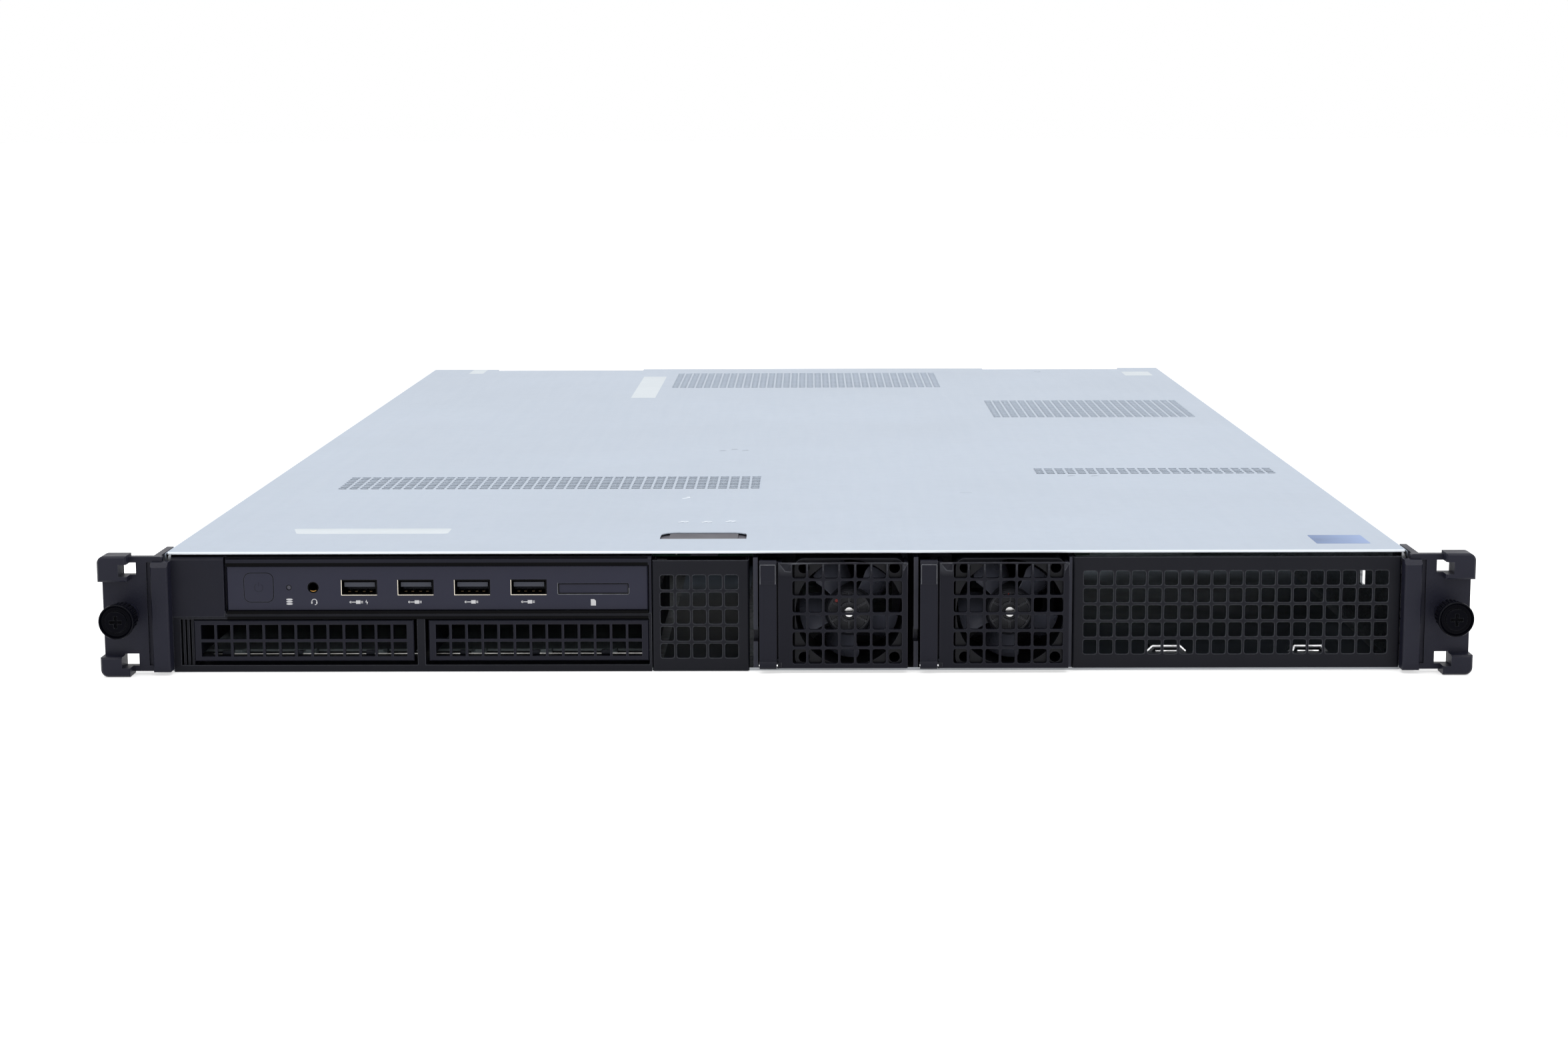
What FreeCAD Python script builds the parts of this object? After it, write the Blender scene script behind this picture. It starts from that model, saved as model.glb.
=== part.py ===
"""A one-unit rack server: sheet-metal chassis, sliding cover, two drive bays,
two front fan modules, two rear power supplies and a pair of rack ears.

Millimetres. +X is right, +Z is up and the front faces -Y. The origin is the
middle of the whole part's footprint, on the surface that it stands on.
"""
import FreeCAD
import Part
import math
import os

# ---- overall sizes ----
body_width = 438.9
body_height = 43.2
body_depth = 690.0
ear_span = 482.6
front_reach = 20.0
rear_reach = 20.0

# ---- sheets and clearances ----
pan_sheet = 1.0
cover_sheet = 0.8
front_sheet = 1.2
cage_sheet = 0.8
slide_gap = 0.2
seat_gap = 0.1
shaft_gap = 0.05
module_gap = 0.4

# ---- base pan ----
pan_bend = 1.0
pan_flange = 6.0
flange_start = 30.0
standoff_width = 6.0
standoff_height = 5.0
bridge_count = 2
bridge_start = 37.0
bridge_pitch = 51.6
bridge_length = 11.5
bridge_width = 4.0
bridge_height = 2.2
bridge_foot = 2.0
bridge_depth = 28.0
hook_slot_length = 9.0
hook_slot_height = 6.4
left_hook_depth = 47.5
left_hook_z = 5.7
right_hook_depth = 66.5
right_hook_z = 22.3

# ---- cover ----
cover_bend = 1.2
cover_flange_drop = 4.0
vent_pitch_x = 4.49
vent_pitch_y = 4.8
vent_width = 3.65
vent_length = 3.9
emboss_length = 58.5
emboss_width = 11.0
emboss_depth = 0.3
emboss_margin = 36.3
emboss_setback = 42.0
rear_notch_depth = 7.0
left_vent_inset = 31.3
left_vent_setback = 161.5
left_vent_cols = 39
left_vent_rows = 8
rear_vent_inset = 148.25
rear_vent_setback = 113.8
rear_vent_cols = 34
rear_vent_rows = 18
right_vent_inset = 0.6
right_vent_setback = 267.5
right_vent_rows = 17
small_vent_inset = 4.1
small_vent_setback = 204.5
small_vent_rows = 4
right_vent_cols = 23
latch_width = 31.5
latch_length = 15.5
latch_setback = 28.0
latch_center_x = -30.0
latch_corner = 6.0
latch_lip = 2.0
latch_sink = 0.4
latch_end_gap = 3.2

# ---- left front: bezel, input panel and drive bays ----
badge_width = 18.5
badge_bottom = 20.0
bezel_top = 41.3
bezel_depth = 9.0
panel_gap = 0.4
panel_right_margin = 1.2
panel_bottom = 21.9
panel_top = 38.1
panel_recess = 0.8
panel_sheet = 2.0
panel_skirt = 6.0
button_size = 10.2
button_corner = 2.2
button_center = 11.3
button_gap = 0.25
button_travel = 0.8
light_radius = 0.8
light_center = 22.0
jack_radius = 2.0
jack_center = 30.6
panel_axis_z = 30.3
usb_first_center = 46.9
usb_pitch = 20.05
usb_count = 4
usb_width = 12.7
usb_height = 5.5
usb_wall = 0.4
usb_length = 14.0
card_center = 130.0
card_width = 25.0
card_height = 3.8
card_drop = 0.5
card_gap = 0.3
board_thickness = 1.6
io_board_depth = 50.0

bay_width = 78.1
bay_count = 2
bay_filler_height = 14.7
bay_filler_bottom = 3.9
bay_opening_bottom = 2.4
bay_opening_top = 19.1
bay_left_margin = 7.1
bay_side_gap = 0.3
bay_post = 2.8
bay_post_gap = 1.3
bay_end_post = 2.7
bay_ribs = 3
bay_shelf_top = 21.0
bay_depth = 120.0
bay_rib_depth = 8.0
tray_setback = 28.0
stud_width = 5.4
stud_height = 1.6
filler_length = 62.0
filler_arm = 1.6
filler_arm_inset = 0.4
filler_plate = 1.6
filler_tie = 4.0
filler_tie_height = 1.5
filler_cols = 13
filler_rows = 2
filler_cell_width = 4.85
filler_cell_height = 5.3
filler_cell_pitch_z = 6.26

# ---- ventilated front cells ----
cell_width = 4.6
cell_pitch_x = 5.7
cell_height = 5.1
cell_pitch_z = 6.16
web_width = cell_pitch_x - cell_width

# ---- centre plate ----
center_gap = 0.2
center_width = 34.3
center_top = 39.9
center_cells_bottom = 4.8
center_cells_left = 3.0
center_count = 5
fold_depth = 10.0

# ---- fan modules ----
fan_count = 2
fan_module_width = 52.6
fan_module_pitch = 56.8
fan_module_start = 3.5
fan_wall = 1.6
fan_size = 38.6
fan_depth = 28.0
fan_bore_radius = 18.4
fan_corner = 2.0
fan_axis_left = 31.95
fan_axis_z = 21.3
fan_hole_reach = 16.0
fan_hole_radius = 1.9
fan_hole_sides = 12
fan_hub_radius = 8.6
hub_ribs = 6
fan_blades = 7
fan_blade_clearance = 0.6
fan_blade_thickness = 0.9
fan_pitch_hub = 30.0
fan_pitch_tip = 52.0
blade_camber = 0.1
fan_shaft_radius = 1.5
fan_screw_radius = 1.9
fan_motor_depth = 6.0
fan_frame_front = 3.6
fan_frame_sheet = 2.0
fan_frame_width = 45.7
fan_frame_bottom = 0.4
fan_frame_top = 39.9
fan_frame_skirt = 10.0
fan_cols = 7
fan_rows = 6
fan_cells_left = 5.1
fan_cells_bottom = 3.35
fan_cell_pitch_x = 5.64
fan_cell_pitch_z = 6.12
fan_arm_length = 46.0
fan_cage_depth = 62.0
fan_notch_bottom = 10.4
fan_notch_top = 14.8
lever_width = 6.05
lever_left = 0.2
lever_gap = 0.15
lever_thickness = 3.0
lever_top = 40.0
lever_pivot_z = 2.9
lever_pivot_front = 3.0
lever_tab_bottom = 31.8
lever_tab_rise = 0.8
lever_pin_radius = 1.0

# ---- right plate ----
right_plate_gap = 1.55
right_top = 40.8
right_bottom = 0.9
right_cells_left = 3.9
right_cells_bottom = 6.0
right_rows = 5

# ---- rack ears and thumbscrews ----
ear_plate_front = 3.5
ear_plate_back = 0.5
ear_plate_inset = 0.4
ear_lobe_front = 9.0
ear_lobe_width = 10.3
ear_lobe_top_height = 9.2
ear_lobe_bottom_height = 7.0
ear_lobe_corner = 2.6
ear_top = 42.2
ear_window_width = 4.9
ear_window_height = 4.3
ear_window_center = 10.0
ear_window_edge = 5.25
ear_column_width = 6.0
ear_column_front = 6.4
ear_column_cover = 2.2
ear_column_bottom = 1.1
ear_column_top = 40.3
ear_groove = 1.8
ear_arm_length = 20.0
ear_arm_thickness = 2.4
ear_arm_gap = 1.1
ear_pad_top = 31.0
thumb_spacing = 465.1
thumb_z = 21.7
knob_radius = 6.15
knob_chamfer = 0.9
knob_flutes = 18
knob_flute_depth = 0.3
shank_radius = 2.5
shank_reach = 12.0
thumb_travel = 5.0
collar_radius = 4.4
collar_front = 9.2
retainer_radius = 4.2
retainer_thickness = 0.9
retainer_groove = 0.5

# ---- slide-rail studs ----
rail_stud_radius = 2.2
rail_stud_head = 3.6
rail_stud_neck = 2.0
rail_stud_head_thickness = 1.2
rail_stud_first = 110.0
rail_stud_pitch = 420.0
rail_stud_count = 2
rail_stud_z = 25.0

# ---- rear panel and power supplies ----
psu_width = 73.5
psu_height = 39.0
psu_length = 185.0
psu_gap = 0.4
psu_web = 1.0
psu_count = 2
psu_side_margin = 0.6
psu_bottom_gap = 0.3
psu_fan_radius = 17.0
psu_hub_radius = 7.0
psu_fan_blades = 5
psu_fan_depth = 24.0
psu_guard_pitch = 6.2
psu_guard_slot = 4.4
psu_fan_x = -17.0
psu_inlet_x = 19.5
psu_inlet_width = 27.0
psu_inlet_height = 20.0
psu_inlet_z = 24.5
psu_inlet_depth = 16.0
psu_handle_bar = 2.4
psu_handle_width = 8.0
psu_handle_bend = 6.0
psu_handle_foot = 3.5
psu_handle_height = 29.0
psu_handle_x = 1.6
psu_latch_thickness = 1.4
psu_latch_height = 11.6
psu_latch_reach = 12.0
psu_latch_length = 24.0
psu_latch_z = 7.8
psu_guide_depth = 60.0

rear_vent_count = 14
rear_vent_pitch = 8.6
rear_vent_width = 5.2

# ---- boards and inner pieces ----
main_board_front = 215.0
main_board_rear_gap = 4.0
main_board_right = 60.0
heatsink_width = 92.0
heatsink_length = 104.0
heatsink_fins = 21
heatsink_fin = 0.6
heatsink_base = 3.0
heatsink_front = 245.0
socket_height = 6.0
memory_count = 4
memory_pitch = 8.2
memory_length = 133.35
memory_height = 30.0
memory_thickness = 3.6
memory_socket_height = 4.0
slot_cover_height = 15.6
slot_cover_length = 108.0
slot_count = 2
slot_left_margin = 9.0
riser_slot_height = 7.4
slot_vent_count = 7
slot_vent_pitch = 13.0
port_wall = 0.6
network_socket_width = 14.6
stacked_socket_height = 6.7
baffle_sheet = 1.2

# ---- places worked out from the sizes above ----
front_y = front_reach - (front_reach + body_depth + rear_reach) / 2
rear_y = front_y + body_depth
half_width = body_width / 2
pan_half = half_width - cover_sheet - slide_gap
pan_inner = pan_half - pan_sheet
cover_under = body_height - cover_sheet
pan_top = cover_under - slide_gap
pan_front = front_y + front_sheet
left_edge = -pan_inner + seat_gap
bay_left = left_edge + bay_left_margin
bay_post_left = bay_left + bay_side_gap + bay_width + bay_post_gap
bay_right_left = bay_post_left + bay_post + bay_post_gap
bay_right_end = bay_right_left + bay_width + bay_side_gap
cage_right = bay_right_end + cage_sheet
badge_right = left_edge + badge_width
panel_left = badge_right + panel_gap + 0.6
panel_right = cage_right - panel_right_margin
center_left = cage_right + center_gap
center_right = center_left + center_width
fan_start = center_right + fan_module_start
fan_end = fan_start + (fan_count - 1) * fan_module_pitch + fan_module_width
right_left = fan_end + right_plate_gap
ear_inner = half_width + slide_gap
ear_half = ear_span / 2
thumb_x = thumb_spacing / 2
psu_pitch = psu_width + 2 * psu_gap + psu_web
psu_right_edge = pan_inner - psu_side_margin - psu_gap
psu_bottom = pan_sheet + psu_bottom_gap
board_top = pan_sheet + standoff_height + board_thickness
heatsink_x = (fan_start + fan_end) / 2
slot_left = -pan_inner + slot_left_margin


# ---- shape helpers ----
def vector(x, y, z):
    return FreeCAD.Vector(x, y, z)


def block(x0, x1, y0, y1, z0, z1):
    """Box between two corners."""
    return Part.makeBox(x1 - x0, y1 - y0, z1 - z0, vector(x0, y0, z0))


def rod_y(x, z, radius, y0, y1):
    """Cylinder along Y."""
    return Part.makeCylinder(radius, y1 - y0, vector(x, y0, z), vector(0, 1, 0))


def rod_x(y, z, radius, x0, x1):
    """Cylinder along X."""
    return Part.makeCylinder(radius, x1 - x0, vector(x0, y, z), vector(1, 0, 0))


def rod_z(x, y, radius, z0, z1):
    """Cylinder along Z."""
    return Part.makeCylinder(radius, z1 - z0, vector(x, y, z0), vector(0, 0, 1))


def regular(a, b, radius, sides):
    """Corner points of a regular polygon."""
    turns = [2 * math.pi * i / sides for i in range(sides)]
    return [(a + radius * math.cos(turn), b + radius * math.sin(turn)) for turn in turns]


def hex_z(x, y, across, z0, z1):
    """Hexagonal post along Z, measured across its flats."""
    return prism(regular(x, y, across / math.sqrt(3), 6), "xy", z0, z1 - z0)


def post_y(x, z, radius, sides, y0, y1):
    """Many-sided post along Y."""
    return prism(regular(x, z, radius, sides), "xz", y0, y1 - y0)


def place(plane, level, a, b):
    """Point (a, b) drawn on a plane that lies at one level of its normal."""
    if plane == "xz":
        return vector(a, level, b)
    if plane == "xy":
        return vector(a, b, level)
    return vector(level, a, b)


def rounded_wire(points, radii, plane, level):
    """Closed outline through corner points, each corner rounded by its radius."""
    corners = [vector(a, b, 0) for a, b in points]
    if not isinstance(radii, (list, tuple)):
        radii = [radii] * len(corners)
    edges = []
    ends = []
    for index, corner in enumerate(corners):
        before = (corners[index - 1] - corner).normalize()
        after = (corners[(index + 1) % len(corners)] - corner).normalize()
        radius = radii[index]
        if radius <= 0:
            ends.append((corner, None, corner))
            continue
        half_angle = before.getAngle(after) / 2
        reach = radius / math.tan(half_angle)
        middle = (before + after).normalize() * (radius / math.sin(half_angle) - radius)
        ends.append((corner + before * reach, corner + middle, corner + after * reach))
    for index, (start, middle, end) in enumerate(ends):
        spots = [place(plane, level, p.x, p.y) for p in (start, end)]
        if middle is not None:
            top = place(plane, level, middle.x, middle.y)
            edges.append(Part.Arc(spots[0], top, spots[1]).toShape())
        following = ends[(index + 1) % len(ends)][0]
        follow = place(plane, level, following.x, following.y)
        if (follow - spots[1]).Length > 1e-6:
            edges.append(Part.LineSegment(spots[1], follow).toShape())
    return Part.Wire(edges)


def prism(points, plane, level, length, radii=0):
    """Rounded outline drawn on a plane and pushed along the plane's normal."""
    face = Part.Face(rounded_wire(points, radii, plane, level))
    step = {"xz": vector(0, length, 0), "xy": vector(0, 0, length), "yz": vector(length, 0, 0)}
    return face.extrude(step[plane])


def rectangle(a0, a1, b0, b1):
    """Corner points of a rectangle, anticlockwise."""
    return [(a0, b0), (a1, b0), (a1, b1), (a0, b1)]


def turned(points, x, z):
    """Solid of revolution about the Y line through (x, z), from (radius, y) points."""
    corners = [vector(x + radius, y, z) for radius, y in points]
    face = Part.Face(Part.makePolygon(corners + corners[:1]))
    return face.revolve(vector(x, 0, z), vector(0, 1, 0), 360)


def cells(x0, z0, counts, y0, y1, size=(cell_width, cell_height), pitch=(cell_pitch_x, cell_pitch_z)):
    """Square ventilation cells, column by column, from the lower left corner."""
    holes = []
    for col in range(counts[0]):
        for row in range(counts[1]):
            left = x0 + col * pitch[0]
            bottom = z0 + row * pitch[1]
            holes.append(block(left, left + size[0], y0, y1, bottom, bottom + size[1]))
    return Part.makeCompound(holes)


def mirrored(shape):
    """The same piece on the other side of the middle plane."""
    return shape.mirror(vector(0, 0, 0), vector(1, 0, 0))


def fuse(first, *others):
    """One solid from pieces that touch or overlap."""
    return first.fuse(list(others)).removeSplitter()


def save(name, *shapes):
    """Write one node, which may be a group of separate solids."""
    shape = shapes[0] if len(shapes) == 1 else Part.makeCompound(list(shapes))
    assert shape.isValid(), name
    shape.exportStep(os.path.join("parts", name + ".step"))


# ---- chassis sheet metal ----
def standoff_places():
    """Where the main board stands on the pan's floor."""
    left = -pan_inner + 12
    right = main_board_right - 8
    front = front_y + main_board_front + 10
    rear = rear_y - main_board_rear_gap - 22
    return [(x, y) for x in (left, (left + right) / 2, right) for y in (front, rear)]


def rail_stud_places():
    """Distances along Y of the slide-rail studs on each side."""
    return [front_y + rail_stud_first + i * rail_stud_pitch for i in range(rail_stud_count)]


def base_pan():
    """Floor, side walls and the inward flanges that the cover slides over."""
    half = pan_half
    inner = pan_inner
    lip = inner - pan_flange + pan_sheet
    shelf = pan_top - pan_sheet
    outline = [(-half, 0), (half, 0), (half, pan_top), (lip, pan_top), (lip, shelf), (inner, shelf),
               (inner, pan_sheet), (-inner, pan_sheet), (-inner, shelf), (-lip, shelf), (-lip, pan_top),
               (-half, pan_top)]
    outer = pan_bend
    radii = [outer, outer, outer, 0, 0, 0, 0, 0, 0, 0, 0, outer]
    pan = prism(outline, "xz", pan_front, rear_y - pan_front, radii)
    cuts = [block(-inner, inner, pan_front, front_y + flange_start, shelf - 1, pan_top + 1)]
    for side, depth, z in ((-1, left_hook_depth, left_hook_z), (1, right_hook_depth, right_hook_z)):
        start = min(side * (inner - 2), side * (half + 2))
        y = front_y + depth
        spot = rectangle(y - hook_slot_length / 2, y + hook_slot_length / 2,
                         z - hook_slot_height / 2, z + hook_slot_height / 2)
        cuts.append(prism(spot, "yz", start, pan_sheet + 4))
    pan = pan.cut(Part.makeCompound(cuts))
    raised = []
    for x, y in standoff_places():
        raised.append(hex_z(x, y, standoff_width, pan_sheet / 2, pan_sheet + standoff_height))
    raised += [lanced_bridge(x) for x in bridge_places()]
    return fuse(pan, *raised)


def bridge_places():
    """Middles of the lanced cable bridges in the floor behind the right plate."""
    return [right_left + bridge_start + i * bridge_pitch for i in range(bridge_count)]


def lanced_bridge(x):
    """Strip of the floor pushed up into a low bridge that a cable tie goes under."""
    foot = pan_sheet - 0.3
    half = bridge_length / 2
    top = pan_sheet + bridge_height
    under = top - 0.7 * pan_sheet
    outline = [(x - half - bridge_foot, foot), (x - half, foot), (x - half + 1.5, under), (x + half - 1.5, under),
               (x + half, foot), (x + half + bridge_foot, foot), (x + half, top), (x - half, top)]
    return prism(outline, "xz", front_y + bridge_depth, bridge_width)


def vent_groups():
    """Cover vents as (left x, front y, columns, rows), from the chassis layout."""
    return [(-pan_inner + left_vent_inset, front_y + left_vent_setback, left_vent_cols, left_vent_rows),
            (-pan_inner + rear_vent_inset, rear_y - rear_vent_setback, rear_vent_cols, rear_vent_rows),
            (right_left + right_vent_inset, rear_y - right_vent_setback, right_vent_cols, right_vent_rows),
            (right_left + small_vent_inset, front_y + small_vent_setback, right_vent_cols, small_vent_rows)]


def cover_notches():
    """Stretches of the cover's rear edge that are cut back, as (left x, right x)."""
    return [(-180.0, -92.0), (113.0, 195.0)]


def top_cover():
    """Sliding lid: hemmed front edge, side flanges, vents, badge pad and latch opening."""
    width = half_width
    flange = cover_sheet
    drop = body_height - cover_flange_drop
    outline = [(-width, drop), (-width + flange, drop), (-width + flange, cover_under),
               (width - flange, cover_under), (width - flange, drop), (width, drop),
               (width, body_height), (-width, body_height)]
    radii = [0, 0, 0, 0, 0, 0, cover_bend, cover_bend]
    cover = prism(outline, "xz", front_y, body_depth, radii)
    front_edges = [edge for edge in cover.Edges
                   if edge.BoundBox.YMax < front_y + 0.01 and edge.BoundBox.XLength > width
                   and edge.BoundBox.ZMin > body_height - 0.01]
    cover = cover.makeChamfer(cover_sheet / 2, front_edges)
    cuts = []
    for left, front, cols, rows in vent_groups():
        length = (cols - 1) * vent_pitch_x + vent_width
        for row in range(rows):
            y = front + row * vent_pitch_y
            cuts.append(block(left, left + length, y, y + vent_length, cover_under - 1, body_height + 1))
    for x0, x1 in cover_notches():
        cuts.append(block(x0, x1, rear_y - rear_notch_depth, rear_y + 1, cover_under - 1, body_height + 1))
    cuts.append(latch_outline(0, cover_under - 1, cover_sheet + 2))
    pad_left = -half_width + emboss_margin
    pad_front = front_y + emboss_setback
    pad = rectangle(pad_left, pad_left + emboss_length, pad_front, pad_front + emboss_width)
    cuts.append(prism(pad, "xy", body_height - emboss_depth, emboss_depth + 1))
    return cover.cut(Part.makeCompound(cuts))


def latch_outline(growth, level, height):
    """Latch opening: square front corners and well-rounded rear corners."""
    x0 = latch_center_x - latch_width / 2 - growth
    x1 = latch_center_x + latch_width / 2 + growth
    y0 = front_y + latch_setback - growth
    y1 = front_y + latch_setback + latch_length + growth
    round_rear = latch_corner + growth
    return prism(rectangle(x0, x1, y0, y1), "xy", level, height, [0, 0, round_rear, round_rear])


def cover_latch():
    """Pushed-down catch: pad in the cover's opening, lip under the sheet and hook below."""
    lip_top = cover_under - slide_gap
    lip = latch_outline(latch_lip, lip_top - 1.2, 1.2)
    x0 = latch_center_x - latch_width / 2 + latch_end_gap
    x1 = latch_center_x + latch_width / 2 - latch_end_gap
    y0 = front_y + latch_setback + slide_gap
    y1 = y0 + latch_length - 2 * slide_gap
    top = body_height - latch_sink
    pad = prism(rectangle(x0, x1, y0, y1), "xy", lip_top - 1.2, top - lip_top + 1.2, [0, 0, 2, 2])
    hook_outline = [(y1 - 5, lip_top - 1.2), (y1 - 5, lip_top - 7), (y1 - 1, lip_top - 7), (y1 - 3, lip_top - 4.5),
                    (y1 - 3, lip_top - 1.2)]
    hook = prism(hook_outline, "yz", latch_center_x - 5, 10.0)
    return fuse(lip, pad, hook)


def rear_port_places():
    """Rear sockets as (middle x, width, height), all standing on the main board."""
    return [(-58.0, 16.2, 13.4), (-38.0, 16.2, 13.4), (-18.0, network_socket_width, 15.6), (2.0, network_socket_width, 15.6),
            (22.0, 18.5, 6.4), (42.0, 18.5, 6.4)]


def psu_centers():
    """Middle x of each power supply, the right one first."""
    first = psu_right_edge - psu_width / 2
    return [first - i * psu_pitch for i in range(psu_count)]


def rear_panel():
    """Rear wall with the power bays, slot windows, sockets and vents, and its guide walls."""
    y0 = rear_y - pan_sheet
    half = pan_inner
    top = pan_top - pan_sheet
    panel = block(-half, half, y0, rear_y, pan_sheet, top)
    cuts = []
    psu_top = psu_bottom + psu_height + psu_gap
    for x in psu_centers():
        reach = psu_width / 2 + psu_gap
        cuts.append(block(x - reach, x + reach, y0 - 1, rear_y + 1, pan_sheet, psu_top))
    for z in slot_levels():
        cuts.append(block(slot_left, slot_left + slot_cover_length - 6, y0 - 1, rear_y + 1, z + 1.5,
                          z + slot_cover_height - 1.5))
    for x, width, height in rear_port_places():
        hole = rectangle(x - width / 2 - seat_gap, x + width / 2 + seat_gap, board_top - seat_gap,
                         board_top + height + seat_gap)
        cuts.append(prism(hole, "xz", y0 - 1, pan_sheet + 2))
    left = -66.0
    for col in range(rear_vent_count):
        x = left + col * rear_vent_pitch
        cuts.append(block(x, x + rear_vent_width, y0 - 1, rear_y + 1, board_top + 19, top - 3))
    panel = panel.cut(Part.makeCompound(cuts))
    walls = []
    for x in psu_centers():
        wall_left = x - psu_width / 2 - psu_gap - psu_web
        walls.append(block(wall_left, wall_left + psu_web, y0 - psu_guide_depth, y0, pan_sheet, top))
    return fuse(panel, *walls)


def slot_levels():
    """Bottom z of each card slot cover."""
    first = board_top + seat_gap
    return [first + i * (slot_cover_height + 1.0) for i in range(slot_count)]


def slot_covers():
    """Blank plates over the card slots, each with a folded fixing tab and a row of vents."""
    covers = []
    y1 = rear_y - pan_sheet
    for z in slot_levels():
        plate = block(slot_left - 3, slot_left + slot_cover_length - 3, y1 - cage_sheet, y1, z, z + slot_cover_height)
        tab_x = slot_left + slot_cover_length - 3
        tab = block(tab_x - cage_sheet, tab_x, y1 - 11, y1 - cage_sheet, z + 2, z + slot_cover_height - 2)
        vents = []
        for col in range(slot_vent_count):
            x = slot_left + 5 + col * slot_vent_pitch
            vents.append(block(x, x + slot_vent_pitch - 3, y1 - 2, y1 + 1, z + 5, z + slot_cover_height - 5))
        covers.append(fuse(plate.cut(Part.makeCompound(vents)), tab))
    return covers


def bay_cage():
    """Black front frame of the two drive bays with the sheet tunnel behind it."""
    step = badge_bottom - seat_gap
    outline = [(left_edge, 0), (cage_right, 0), (cage_right, bay_shelf_top), (badge_right, bay_shelf_top),
               (badge_right, step), (left_edge, step)]
    face = prism(outline, "xz", front_y, front_sheet)
    windows = []
    for x0, x1 in bay_windows():
        spot = rectangle(x0, x1, bay_opening_bottom, bay_opening_top)
        windows.append(prism(spot, "xz", front_y - 1, front_sheet + 2))
    face = face.cut(Part.makeCompound(windows))
    rear = pan_front + bay_depth
    outer = block(left_edge, cage_right, pan_front, rear, pan_sheet, bay_opening_top + cage_sheet)
    inner = block(left_edge + cage_sheet, cage_right - cage_sheet, pan_front, rear, pan_sheet + cage_sheet,
                  bay_opening_top)
    post = block(bay_post_left, bay_post_left + bay_post, pan_front, rear, pan_sheet, bay_opening_top)
    tunnel = outer.cut(inner)
    y = front_y + left_hook_depth
    half_length = hook_slot_length / 2
    hook = block(left_edge - 1, left_edge + cage_sheet + 1, y - half_length, y + half_length,
                 pan_sheet + cage_sheet, left_hook_z + hook_slot_height / 2)
    ribs = []
    first_rib = left_edge + bay_end_post + 0.6
    for index in range(bay_ribs):
        x = first_rib + (bay_left - cage_sheet - first_rib) * index / (bay_ribs - 1)
        ribs.append(block(x, x + cage_sheet, pan_front, pan_front + bay_rib_depth, pan_sheet, bay_opening_top))
    shelf_lip = block(badge_right, cage_right, pan_front, pan_front + 2, bay_opening_top, bay_shelf_top)
    posts = [hex_z(x, y, standoff_width, bay_opening_top, io_board_bottom()) for x, y in io_board_screws()]
    return fuse(face, tunnel.cut(hook), post, shelf_lip, *ribs, *posts)


def bay_windows():
    """Left and right x of each bay's front window."""
    return [(left_edge + bay_end_post, bay_post_left), (bay_post_left + bay_post, bay_right_end)]


def bay_lefts():
    """Left x of each bay filler's front plate."""
    return [bay_left + bay_side_gap, bay_right_left]


def bay_tray():
    """Bright tray floor of each bay, set back from the front, with its drive studs."""
    floor = pan_sheet + cage_sheet
    trays = []
    for x0, x1 in ((left_edge + cage_sheet + seat_gap, bay_post_left - seat_gap),
                   (bay_post_left + bay_post + seat_gap, cage_right - cage_sheet - seat_gap)):
        y0 = front_y + tray_setback
        plate = block(x0, x1, y0, pan_front + bay_depth, floor, floor + cage_sheet)
        studs = []
        for share in (0.2, 0.5, 0.8):
            x = x0 + (x1 - x0) * share
            studs.append(block(x - stud_width / 2, x + stud_width / 2, y0 - stud_width, y0 + 2, floor,
                               floor + cage_sheet))
            studs.append(hex_z(x, y0 - stud_width / 2, stud_width * 0.8, floor, floor + stud_height))
        trays.append(fuse(plate, *studs))
    return trays


def bay_backplane():
    """Board across the rear of both bays with a drive connector in each."""
    y0 = pan_front + bay_depth + seat_gap
    board = block(left_edge + 1, cage_right - 1, y0, y0 + board_thickness, pan_sheet, bay_opening_top + 1)
    plugs = []
    for x in bay_lefts():
        middle = x + bay_width / 2
        floor = pan_sheet + 2 * cage_sheet
        plugs.append(block(middle - 21, middle + 21, y0 - 8, y0, floor + 2, floor + 8))
    return fuse(board, *plugs)


def bay_filler(left):
    """Ventilated blank: moulded front plate, two side rails and the tie between them."""
    y0 = front_y
    y1 = y0 + filler_plate
    z0 = bay_filler_bottom
    z1 = bay_filler_bottom + bay_filler_height
    plate = prism(rectangle(left, left + bay_width, z0, z1), "xz", y0, filler_plate)
    rim = [edge for edge in plate.Edges if edge.BoundBox.YMax < y0 + 0.01]
    plate = plate.makeChamfer(0.4, rim)
    span = (filler_cols - 1) * cell_pitch_x + filler_cell_width
    height = (filler_rows - 1) * filler_cell_pitch_z + filler_cell_height
    x = left + (bay_width - span) / 2
    z = z0 + (bay_filler_height - height) / 2
    plate = plate.cut(cells(x, z, (filler_cols, filler_rows), y0 - 1, y1 + 1, (filler_cell_width, filler_cell_height),
                            (cell_pitch_x, filler_cell_pitch_z)))
    rails = []
    end = y0 + filler_length
    for edge, lean in ((left + filler_arm_inset, 1), (left + bay_width - filler_arm_inset, -1)):
        inner = edge + lean * filler_arm
        spots = [(edge, y1), (inner, y1), (inner, end), (edge + lean * filler_arm / 2, end), (edge, end - 6)]
        rails.append(prism(spots, "xy", z0 + 2, bay_filler_height - 4))
    tie_inset = filler_arm_inset + filler_arm
    tie_top = z1 - 2.5
    tie = block(left + tie_inset, left + bay_width - tie_inset, end - 8 - filler_tie, end - 8,
                tie_top - filler_tie_height, tie_top)
    return [plate, tie] + rails


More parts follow.
